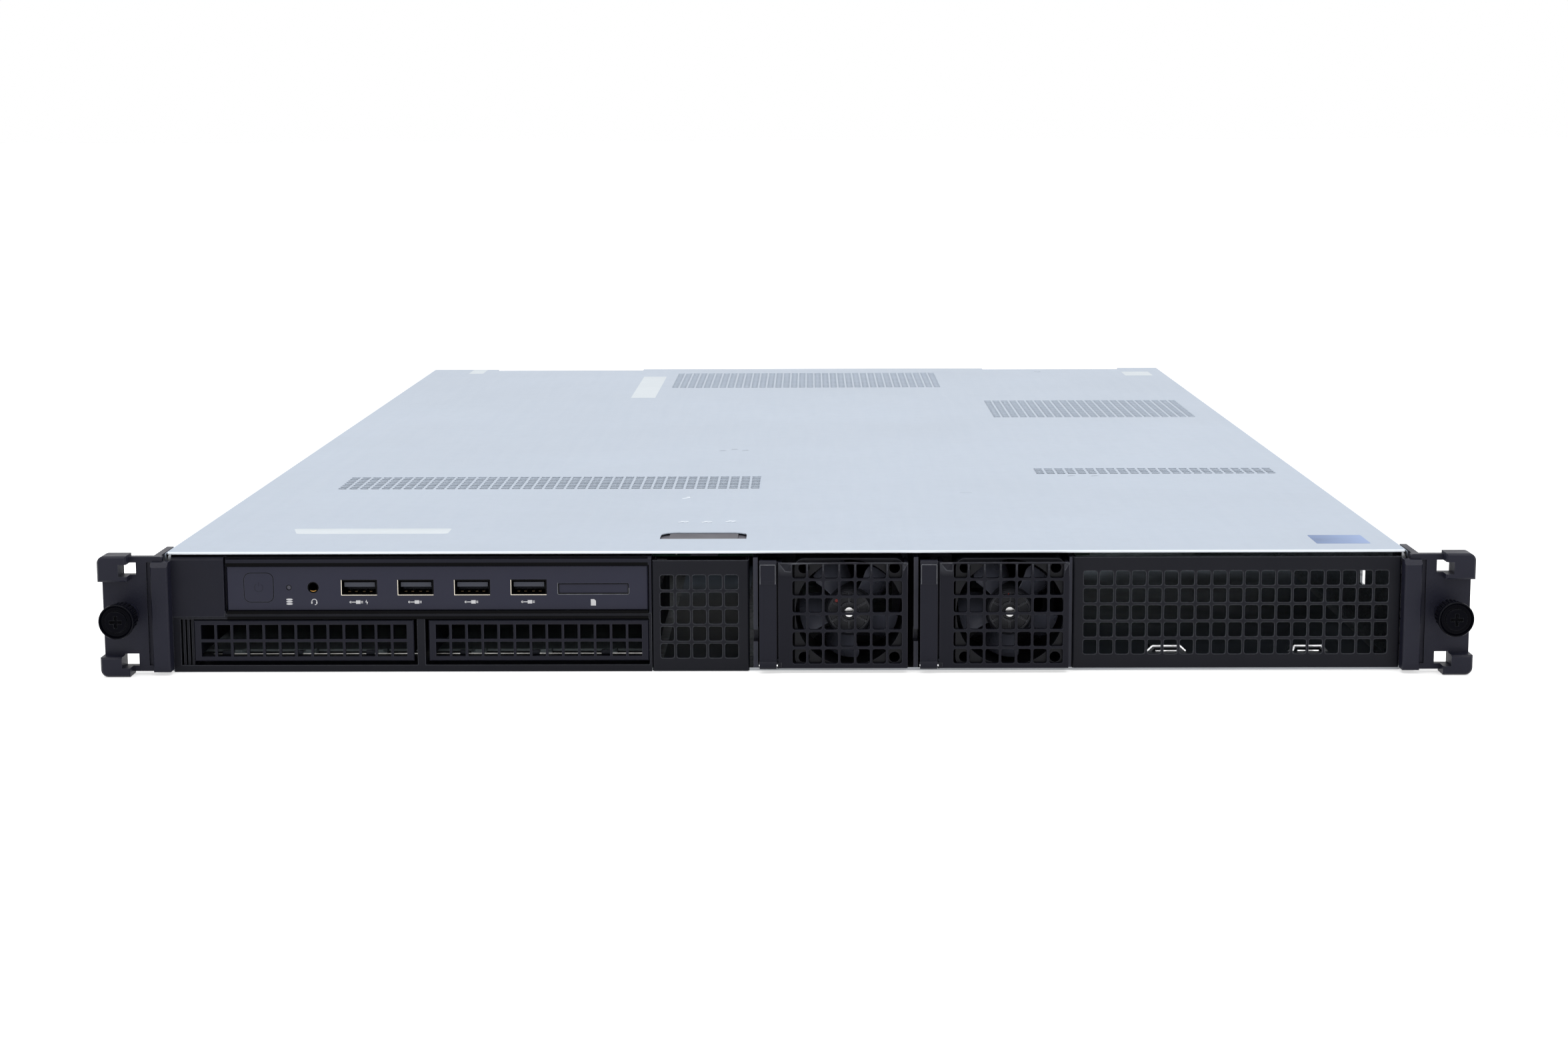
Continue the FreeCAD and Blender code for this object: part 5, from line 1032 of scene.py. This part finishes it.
class SERVER_OT_input_panel(bpy.types.Operator):
    """Finish the bezel and input panel, and add the sockets' rims, contacts and pictograms"""
    bl_idname = "server.input_panel"
    bl_label = "Input panel"

    def execute(self, context):
        dress("io_bezel", "black_plastic", 0.3 * MM)
        dress("io_panel", "panel_plastic", 0.25 * MM)
        dress("card_slot_blank", "panel_plastic", 0.2 * MM)
        dress("power_button", "panel_plastic", 0.3 * MM, 3)
        # The shells are near-black as painted shade of their recessed fronts; bright rims are added only on
        # their lit sides.
        dress("usb_shells", "gap_black")
        dress("usb_tongues", "tongue_plastic", 0.1 * MM)
        # Near-black: the jack's own black moulding and the painted shade of its bore.
        dress("headset_jack", "gap_black")
        dress("activity_light", "lamp")
        self.sockets()
        self.slot_lip()
        self.jack_contact()
        self.seams()
        self.signs()
        return {"FINISHED"}

    def sockets(self):
        """Bright rims on only the left and lower sides of each shell, a painted highlight on the sides that
        catch the light, and its contacts.
        """
        low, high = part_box("usb_shells")
        width, rim = 12.7 * MM, 0.2 * MM
        front = low.y - 0.02 * MM
        depth = (front, front + 1.2 * MM)
        contact = (front + 2.2 * MM, front + 6.0 * MM, low.z + 0.9 * MM, low.z + 1.15 * MM)
        rims = []
        contacts = []
        for left in spaced(low.x, SOCKET_PITCH, SOCKET_COUNT):
            # Rims only on the left and lower sides: a painted highlight where the light catches, with the
            # shaded sides left dark.
            rims.append((left, left + rim, *depth, low.z, high.z))
            rims.append((left + rim, left + width, *depth, low.z, low.z + rim))
            for spot in (left + reach * MM for reach in (2.2, 4.6, 7.4, 9.8)):
                contacts.append((spot, spot + 0.9 * MM, *contact))
        add_blocks("socket_rims", rims, "chassis", "socket_rim")
        add_blocks("socket_contacts", contacts, "chassis", "gold_plate")

    def slot_lip(self):
        """Pale lower lip and ends of the card slot's frame, a painted highlight where the light catches
        them.
        """
        x, z = card_slot_middle()
        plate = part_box("io_panel")[0].y - 0.01 * MM
        across, up, width = 12.72 * MM, 2.12 * MM, 0.2 * MM
        lines = ((-across, across, -up, width - up), (-across, width - across, -up, up),
                 (across - width, across, -up, width))
        add_blocks("slot_lip", [(x + x0, x + x1, plate - 0.03 * MM, plate, z + z0, z + z1)
                                for x0, x1, z0, z1 in lines], "chassis", "worn_plastic")

    def jack_contact(self):
        """Bright lower part of the bore in the headset jack."""
        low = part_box("headset_jack")[0]
        bore, rise, thin = 1.5 * MM, 0.35 * MM, 0.95 * MM
        turns = swept_angles(205, 335, 10)
        outer = [(bore * math.cos(t), bore * math.sin(t)) for t in turns]
        inner = [(bore * math.cos(t), thin * math.sin(t) - rise) for t in turns[::-1]]
        bm = bmesh.new()
        upright_prism(bm, outer + inner[1:-1], node_middle("headset_jack")[0], low.y + 0.2 * MM,
                      low.z + 2.85 * MM, 1.5 * MM)
        add_solid("jack_contact", bm, "chassis", "contact_gold")

    def seams(self):
        """Painted shadows: near-black strips for the shadow gaps round the button, lamp and card slot, and
        above and below the bezel's shelf.
        """
        low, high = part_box("io_panel")
        bezel_low, bezel_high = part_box("io_bezel")
        x, z = button_middle()
        cap = 5.3 * MM
        lamp = 0.95 * MM
        thin = 0.03 * MM
        frames = [(x, z, cap, cap, 2.3 * MM, 0.42 * MM),
                  (*card_slot_middle(), 12.5 * MM, 1.9 * MM, 0.3 * MM, 0.3 * MM),
                  (node_middle("activity_light")[0], z, lamp, lamp, 0.94 * MM, 0.2 * MM)]
        bm = bmesh.new()
        for x, z, across, up, corner, width in frames:
            outer = rounded_outline(-across, across, -up, up, corner, 5)
            inner = rounded_outline(width - across, across - width, width - up, up - width,
                                    max(corner - width, 0.05 * MM), 5)
            for index in range(len(outer)):
                after = (index + 1) % len(outer)
                upright_prism(bm, (outer[index], outer[after], inner[after], inner[index]), x,
                              low.y - 0.01 * MM - thin, z, thin)
        shelf = bezel_low.z
        for z0, z1 in ((shelf + 0.95 * MM, shelf + 2.0 * MM), (shelf - 0.95 * MM, shelf - 0.05 * MM),
                       (high.z, high.z + 1.15 * MM), (bezel_high.z - 0.4 * MM, bezel_high.z)):
            box_solid(bm, low.x, high.x, bezel_low.y - 0.04 * MM, bezel_low.y + 0.3 * MM, z0, z1)
        add_solid("panel_seams", bm, "chassis", "gap_black")

    def signs(self):
        """Printed pictograms under the sockets and a faint power sign on the button."""
        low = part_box("io_panel")[0]
        shapes = disk_sign(22.1, 3.3) + headset_sign(30.9, 3.3) + card_sign(129.95, 2.85)
        for index, middle in enumerate(spaced(46.9, SOCKET_PITCH / MM, SOCKET_COUNT)):
            room_for_bolt = 0.8 if index == 0 else 0.0
            shapes += plug_sign(middle - room_for_bolt, 3.1)
        shapes += bolt_sign(49.5, 3.1)
        print_front("panel_signs", in_mm(shapes, low.x, low.z), low.y, "chassis")
        sign = arc_strokes(0, 0, 1.5, 125, 415, 0.22, 14) + [strip(0, 0.4, 0, 2.0, 0.22)]
        print_front("power_sign", in_mm(sign, *button_middle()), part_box("power_button")[0].y,
                    "power_button", "power_print")


# ---- fan modules ----
def fan_guard(side):
    """Front guard with rounded cells, and behind it the carrier's sides, lever seat, lug and plug arm."""
    sizes = bpy.context.scene.server_sizes
    node = "fan_frame_" + side
    body = "fan_module_" + side
    low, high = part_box(node)
    left = high.x - 45.7 * MM
    module = low.x - 0.3 * MM
    chassis_front = low.y + 3.6 * MM
    bm = bmesh.new()
    pierced_grid(bm, lambda u, v: (u, low.y, v), spaced(left + 5.02 * MM, GUARD_PITCH[0], 7),
                 spaced(low.z + 2.9 * MM, GUARD_PITCH[1], 6), *CELL, sizes.cell_corner,
                 (left, high.x, low.z + 1.2 * MM, high.z - 0.6 * MM))
    guard = add_sheet("fan_guard_" + side, bm, body, "guard_plastic", -BACK)
    thicken(guard, 2.0 * MM)
    round_edges(guard, 0.25 * MM, clamp=False)
    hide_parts(node)
    wall = 1.2 * MM
    skin = low.y + 1.6 * MM
    floor, top = low.z + 1.0 * MM, high.z - 0.7 * MM
    arm = (12 * MM, 30 * MM)
    plug = module + 3.225 * MM
    blocks = [(x, x + wall, skin, chassis_front + 10 * MM, floor, top) for x in (left, high.x - wall)]
    blocks += [
        (low.x, left + 0.5 * MM, chassis_front + 0.6 * MM, chassis_front + 2.2 * MM, floor, top),
        (low.x, low.x + wall, chassis_front + 1.4 * MM, chassis_front + 41 * MM, *arm),
        (plug - 2.4 * MM, plug + 2.4 * MM, chassis_front + 32 * MM, high.y, *arm),
        (module + 6.4 * MM, left + 0.3 * MM, low.y + 0.6 * MM, chassis_front + 2.2 * MM, floor, 4.9 * MM),
    ]
    carrier = add_blocks("fan_carrier_" + side, blocks, body, "black_plastic", smooth=True)
    round_edges(carrier, sizes.edge)


def fan_housing(side):
    """Fan body: square with round corners, a wide bore, corner holes, rear struts and the motor's cup."""
    node = "fan_housing_" + side
    body = "fan_module_" + side
    low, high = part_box(node)
    x, z = node_middle(node)
    half = (high.x - low.x) / 2
    bore = half - 0.3 * MM
    hole_reach, hole_radius = 16 * MM, 1.9 * MM
    bm = bmesh.new()
    rings = [rounded_outline(-half, half, -half, half, 3.2 * MM, 6), oval(0, 0, bore, bore, 72)]
    rings += [oval(u, v, hole_radius, hole_radius, 20) for u in (-hole_reach, hole_reach)
              for v in (-hole_reach, hole_reach)]
    fill_between(bm, [[bm.verts.new((u, v, 0.0)) for u, v in ring] for ring in rings], 0.0)
    for vert in bm.verts:
        vert.co = (x + vert.co.x, low.y, z + vert.co.y)
    shell = add_sheet("fan_body_" + side, bm, body, "gloss_black", -BACK)
    thicken(shell, high.y - low.y)
    round_edges(shell, 0.12 * MM, clamp=False)
    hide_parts(node)
    cup, cup_depth, strut_depth = 8.6 * MM, 5.6 * MM, 3 * MM
    cup_front = high.y - cup_depth
    profile = [(0.0, cup_front), (cup, cup_front), (cup, high.y), (0.0, high.y)]
    bm = bmesh.new()
    turned_solid(bm, profile, x, z, 40)
    for angle in swept_angles(45, 315, 3):
        strut = spoke(angle, cup - 1.0 * MM, bore + 0.4 * MM, 2.2 * MM)
        upright_prism(bm, strut, x, high.y - strut_depth, z, strut_depth)
    motor = add_solid("fan_motor_" + side, bm, body, "gloss_black")
    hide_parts(node)


def blade_section(chord, camber, thickness):
    """Closed section of a blade as (along, across) points, thin at both edges."""
    edge_share = 0.35
    upper = []
    lower = []
    for share in (-0.5, -0.3, -0.1, 0.1, 0.3, 0.5):
        bulge = 1 - 4 * share * share
        rise = camber * chord * bulge
        half = thickness / 2 * (edge_share + (1 - edge_share) * bulge)
        upper.append((share * chord, rise + half))
        lower.append((share * chord, rise - half))
    return upper + lower[::-1]


def rotor_blade(bm, x, y, z, start, hub, tip):
    """One twisted and swept blade, lofted outwards from the hub."""
    steps = 8
    chord, chord_growth = 16.5 * MM, 2.0 * MM
    lean_root, lean_growth, sweep_angle = 30, 16, 9
    round_from, round_share = 0.8, 0.22
    rings = []
    for step in range(steps + 1):
        share = step / steps
        radius = hub + (tip - hub) * share
        lean = math.radians(lean_root + lean_growth * share)
        rounding = 1.0 - round_share * max(0.0, share - round_from) / (1.0 - round_from)
        ring = []
        for along, across in blade_section((chord + chord_growth * share) * rounding, 0.09, 0.95 * MM):
            ahead = along * math.cos(lean) - across * math.sin(lean)
            aside = along * math.sin(lean) + across * math.cos(lean)
            angle = start + math.radians(sweep_angle) * share - aside / radius
            spot = (x + radius * math.cos(angle), y + ahead, z + radius * math.sin(angle))
            ring.append(bm.verts.new(spot))
        rings.append(ring)
    join_rows(bm, rings)
    bm.faces.new(rings[0])
    bm.faces.new(rings[-1][::-1])


def fan_rotor(side):
    """Smooth rotor: ringed hub with six ribs, shaft, five blades and a slotted screw."""
    node = body = "fan_rotor_" + side
    low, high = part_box(node)
    x = node_middle(node)[0]
    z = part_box("fan_housing_" + side)[0].z + 19.3 * MM
    face = low.y + 0.5 * MM
    hub, shaft, back = 8.6 * MM, 1.5 * MM, face + 19.6 * MM
    cap = [(0.0, 0.9), (2.7, 0.9), (2.9, 0.2), (3.5, 0.2), (3.7, 1.0), (6.7, 1.0), (6.9, 0.15), (7.5, 0.1),
           (8.1, 0.5), (8.6, 1.4)]
    profile = [(radius * MM, face + depth * MM) for radius, depth in cap]
    profile += [(hub, back), (shaft, back), (shaft, high.y), (0.0, high.y)]
    bm = bmesh.new()
    turned_solid(bm, profile, x, z, 48)
    for angle in swept_angles(30, 330, 5):
        upright_prism(bm, spoke(angle, 3.4 * MM, 7.0 * MM, 0.55 * MM), x, face + 0.25 * MM, z, 0.9 * MM)
    hub_piece = add_solid("rotor_hub_" + side, bm, body, "hub_plastic", smooth=True)
    keep_sharp(hub_piece, 38.0)
    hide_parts(node)
    bm = bmesh.new()
    for start in swept_angles(110, 398, 4):
        rotor_blade(bm, x, face + 10.4 * MM, z, start, 8.2 * MM, 17.6 * MM)
    blades = add_solid("rotor_blades_" + side, bm, body, "gloss_plastic", smooth=True)
    keep_sharp(blades, 50.0)
    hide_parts(node)
    screw_radius = 1.85 * MM
    bm = bmesh.new()
    for start in (13.0, 193.0):
        half_disk = [(screw_radius * math.cos(t), screw_radius * math.sin(t))
                     for t in swept_angles(start, start + 154.0, 12)]
        upright_prism(bm, half_disk, x, low.y, z, 1.6 * MM)
    round_edges(add_solid("rotor_screw_" + side, bm, body, "bright_steel", smooth=True), 0.25 * MM, 3)
    angle = math.radians(139.0 if side == "left" else 92.0)
    dot = oval(6.0 * math.cos(angle), 6.0 * math.sin(angle), 0.5, 0.6, 10)
    print_front("rotor_dot_" + side, in_mm([dot], x, z), face + 0.97 * MM, body, "red_wire")


def lever_trim(side):
    """Pale outline of the lever's thumb tab, a painted highlight, and the bright retaining clips at the
    ends of its pin.
    """
    low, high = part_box("fan_lever_" + side)
    x0, x1 = low.x + 0.35 * MM, high.x - 0.35 * MM
    z0, z1 = high.z - 8.0 * MM, high.z - 1.1 * MM
    outline = [strip(x0, z0, x0, z1, 0.16 * MM), strip(x1, z0, x1, z1, 0.16 * MM),
               strip(x0, z1, x1, z1, 0.2 * MM)]
    print_front("lever_wear_" + side, outline, low.y, "fan_lever_" + side, "worn_plastic")
    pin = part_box("fan_lever_pin_" + side)[0]
    clips = [(x, x + 0.4 * MM, pin.y - 0.05 * MM, pin.y + 0.5 * MM, 2.5 * MM, 3.1 * MM)
             for x in (pin.x, high.x + 0.02 * MM)]
    add_blocks("pin_clips_" + side, clips, "fan_module_" + side, "polished")


class SERVER_OT_fans(bpy.types.Operator):
    """Build the fan guards, carriers, housings and rotors, and finish the levers and pins"""
    bl_idname = "server.fans"
    bl_label = "Fan modules"

    def execute(self, context):
        for side in SIDES:
            fan_guard(side)
            fan_rotor(side)
            fan_housing(side)
            dress("fan_lever_" + side, "black_plastic", 0.3 * MM, 3)
            dress("fan_lever_pin_" + side, "black_steel")
            lever_trim(side)
        return {"FINISHED"}


# ---- ears and supplies ----
def cross_recess(bm, rim):
    """Face of a screw head with a cross-shaped recess, inside its rim of vertices at level 0."""
    arm, web, depth = 2.1 * MM, 0.55 * MM, 1.4 * MM
    cross = [(web, web), (web, arm), (-web, arm), (-web, web), (-arm, web), (-arm, -web), (-web, -web),
             (-web, -arm), (web, -arm), (web, -web), (arm, -web), (arm, web)]
    edge = [bm.verts.new((u, v, 0.0)) for u, v in cross]
    fill_between(bm, [rim, edge], 0.0)
    bottom = [bm.verts.new((u, v, depth)) for u, v in cross]
    join_rows(bm, [edge, bottom])
    bm.faces.new(bottom)


def thumbscrew(side):
    """Flanged knob with a fluted grip behind, a raised head with a cross recess, and its grooved shank."""
    node = "thumbscrew_" + side
    low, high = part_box(node)
    ring = "thumb_retainer_" + side
    ring_low, ring_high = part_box(ring)
    x, z = node_middle(ring)
    steps = 48
    head = 3.5 * MM
    grip_end, flute = 10.6, 0.3
    groove_start = (ring_low.y - low.y) / MM - 0.1
    groove_end = (ring_high.y - low.y) / MM + 0.1
    reach = (high.y - low.y) / MM
    head_and_flange = [(3.8, 0.3), (3.9, 1.2), (5.1, 1.3), (5.7, 0.5), (6.0, 0.45), (6.15, 0.8),
                       (6.15, 2.4)]
    grip = [(5.5, 2.8), (5.5, grip_end)]
    shank = [(2.5, grip_end), (2.5, groove_start), (2.0, groove_start), (2.0, groove_end),
             (2.5, groove_end), (2.5, reach - 0.8), (1.7, reach)]
    circle = oval(0, 0, 1, 1, steps)
    bm = bmesh.new()
    rows = [[bm.verts.new((head * u, head * v, 0.0)) for u, v in circle]]
    cross_recess(bm, rows[0])
    for radius, depth in head_and_flange + grip + shank:
        cut = flute if (radius, depth) in grip else 0.0
        outs = [(radius - cut * (index % 2)) * MM for index in range(steps)]
        rows.append([bm.verts.new((out * u, out * v, depth * MM)) for out, (u, v) in zip(outs, circle)])
    join_rows(bm, rows)
    bm.faces.new(rows[-1])
    for vert in bm.verts:
        vert.co = (x + vert.co.x, low.y + vert.co.z, z + vert.co.y)
    knob = add_solid("thumb_knob_" + side, bm, node, "screw_black", smooth=True)
    keep_sharp(knob, 35.0)
    round_edges(knob, 0.12 * MM)
    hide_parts(node)


class SERVER_OT_ears(bpy.types.Operator):
    """Finish the rack ears and build their thumbscrews"""
    bl_idname = "server.ears"
    bl_label = "Ears"

    def execute(self, context):
        for side in SIDES:
            dress("ear_" + side, "cast_black", 0.4 * MM, 3)
            thumbscrew(side)
            dress("thumb_retainer_" + side, "bright_steel")
        return {"FINISHED"}


class SERVER_OT_supplies(bpy.types.Operator):
    """Finish the power supplies"""
    bl_idname = "server.supplies"
    bl_label = "Power supplies"

    def execute(self, context):
        for side in SIDES:
            dress("psu_case_" + side, "zinc_steel", 0.25 * MM)
            dress("psu_inlet_" + side, "black_plastic", 0.2 * MM)
            dress("psu_handle_" + side, "cast_black", 0.4 * MM)
            dress("psu_latch_" + side, "latch_plastic", 0.25 * MM)
            dress("psu_fan_rotor_" + side, "gloss_plastic", 0.1 * MM)
        return {"FINISHED"}


# ---- stage ----
def area_lamp(name, place, width, depth, power):
    """Soft rectangular lamp turned towards the middle of the floor."""
    data = bpy.data.lights.new(name, "AREA")
    data.shape = "RECTANGLE"
    data.size = width
    data.size_y = depth
    data.energy = power
    lamp = new_object(name, data)
    lamp.location = place
    lamp.rotation_euler = (-Vector(place)).to_track_quat("-Z", "Y").to_euler()


def seen_rays(tree):
    """1 for rays that are seen directly, in a reflection or through glass, and 0 for light."""
    path = new_node(tree, "LightPath")
    total = path.outputs["Is Camera Ray"]
    for name in ("Is Glossy Ray", "Is Transmission Ray"):
        add = new_node(tree, "Math", None, {0: total, 1: path.outputs[name]})
        add.operation = "ADD"
        add.use_clamp = True
        total = add.outputs["Value"]
    return total


def seen_or_light(tree, light, shown):
    """Shader that shows one look to seen rays and gives another as light."""
    links = {"Fac": seen_rays(tree), 1: light, 2: shown}
    return new_node(tree, "MixShader", None, links).outputs["Shader"]


def pale_floor(side):
    """Plain white floor, seen as the white surroundings away from the object's shadow."""
    half = side / 2
    mesh = bpy.data.meshes.new("floor")
    corners = [(u, v, 0) for u, v in rectangle_outline(-half, half, -half, half)]
    mesh.from_pydata(corners, [], [(0, 1, 2, 3)])
    floor = new_object("floor", mesh)
    floor.location.z = -0.2 * MM
    material = bpy.data.materials.new("floor_white")
    material.use_nodes = True
    tree = material.node_tree
    shader = tree.nodes["Principled BSDF"]
    shader.inputs["Base Color"].default_value = (0.9, 0.9, 0.9, 1.0)
    shader.inputs["Roughness"].default_value = 0.9
    shader.inputs["Specular IOR Level"].default_value = 0.1
    glow = new_node(tree, "Emission", {"Strength": 0.58})
    dark = new_node(tree, "Emission", {"Strength": 0.0})
    added = seen_or_light(tree, dark.outputs["Emission"], glow.outputs["Emission"])
    total = new_node(tree, "AddShader", None, {0: shader.outputs["BSDF"], 1: added})
    tree.links.new(total.outputs["Shader"], tree.nodes["Material Output"].inputs["Surface"])
    mesh.materials.append(material)


def white_world(strength):
    """White surroundings: plain white to the camera, and a softer level as light."""
    white = (1.0, 1.0, 1.0, 1.0)
    world = bpy.data.worlds.new("surroundings")
    world.use_nodes = True
    tree = world.node_tree
    light = tree.nodes["Background"]
    light.inputs["Color"].default_value = white
    light.inputs["Strength"].default_value = strength
    shown = new_node(tree, "Background", {"Color": white})
    mixed = seen_or_light(tree, light.outputs["Background"], shown.outputs["Background"])
    tree.links.new(mixed, tree.nodes["World Output"].inputs["Surface"])
    bpy.context.scene.world = world


def place_camera(settings):
    """Camera from its place, yaw, pitch and roll."""
    yaw, pitch, roll = settings.camera_yaw, settings.camera_pitch, settings.camera_roll
    forward = Vector((math.sin(yaw) * math.cos(pitch), math.cos(yaw) * math.cos(pitch), -math.sin(pitch)))
    right = forward.cross(UP).normalized()
    up = right.cross(forward)
    turned_right = math.cos(roll) * right + math.sin(roll) * up
    turned_up = -math.sin(roll) * right + math.cos(roll) * up
    data = bpy.data.cameras.new("camera")
    data.lens = settings.lens
    data.sensor_width = 36.0
    data.clip_end = 100.0
    camera = new_object("camera", data)
    facing = Matrix((turned_right, turned_up, -forward)).transposed()
    camera.matrix_world = Matrix.Translation(settings.camera_place) @ facing.to_4x4()
    bpy.context.scene.camera = camera


class SERVER_OT_stage(bpy.types.Operator):
    """Set the pale floor, soft lamps, white surroundings and the camera"""
    bl_idname = "server.stage"
    bl_label = "Stage"

    def execute(self, context):
        settings = context.scene.server_stage
        pale_floor(settings.floor)
        white_world(settings.world_strength)
        area_lamp("key_lamp", (0.0, -0.2, 1.7), 2.4, 2.0, settings.key_power)
        area_lamp("front_lamp", (0.3, -2.2, 0.9), 1.8, 1.2, settings.front_power)
        place_camera(settings)
        context.scene.view_settings.view_transform = "Standard"
        return {"FINISHED"}


# ---- panel and registration ----
PIECES = (SERVER_OT_sheet_metal, SERVER_OT_cover, SERVER_OT_lid_marks, SERVER_OT_latch,
          SERVER_OT_front_plates, SERVER_OT_bays, SERVER_OT_input_panel, SERVER_OT_fans, SERVER_OT_ears,
          SERVER_OT_supplies, SERVER_OT_stage)
GROUPS = (("server_finishes", ServerFinishes), ("server_sizes", ServerSizes), ("server_stage", ServerStage))


class SERVER_PT_build(bpy.types.Panel):
    """Lists the server's pieces and settings in the sidebar"""
    bl_idname = "SERVER_PT_build"
    bl_label = "Rack server"
    bl_space_type = "VIEW_3D"
    bl_region_type = "UI"
    bl_category = "Server"

    def draw(self, context):
        layout = self.layout
        for operator in PIECES:
            layout.operator(operator.bl_idname)
        for name, group in GROUPS:
            box = layout.box()
            for setting in group.__annotations__:
                box.prop(getattr(context.scene, name), setting)


def register():
    for name, group in GROUPS:
        bpy.utils.register_class(group)
        setattr(bpy.types.Scene, name, bpy.props.PointerProperty(type=group))
    for operator in PIECES:
        bpy.utils.register_class(operator)
    bpy.utils.register_class(SERVER_PT_build)


def unregister():
    bpy.utils.unregister_class(SERVER_PT_build)
    for operator in reversed(PIECES):
        bpy.utils.unregister_class(operator)
    for name, group in reversed(GROUPS):
        delattr(bpy.types.Scene, name)
        bpy.utils.unregister_class(group)


def main():
    register()
    bpy.ops.server.sheet_metal()
    bpy.ops.server.cover()
    bpy.ops.server.lid_marks()
    bpy.ops.server.latch()
    bpy.ops.server.front_plates()
    bpy.ops.server.bays()
    bpy.ops.server.input_panel()
    bpy.ops.server.fans()
    bpy.ops.server.ears()
    bpy.ops.server.supplies()
    bpy.ops.server.stage()


if __name__ == "__main__":
    main()
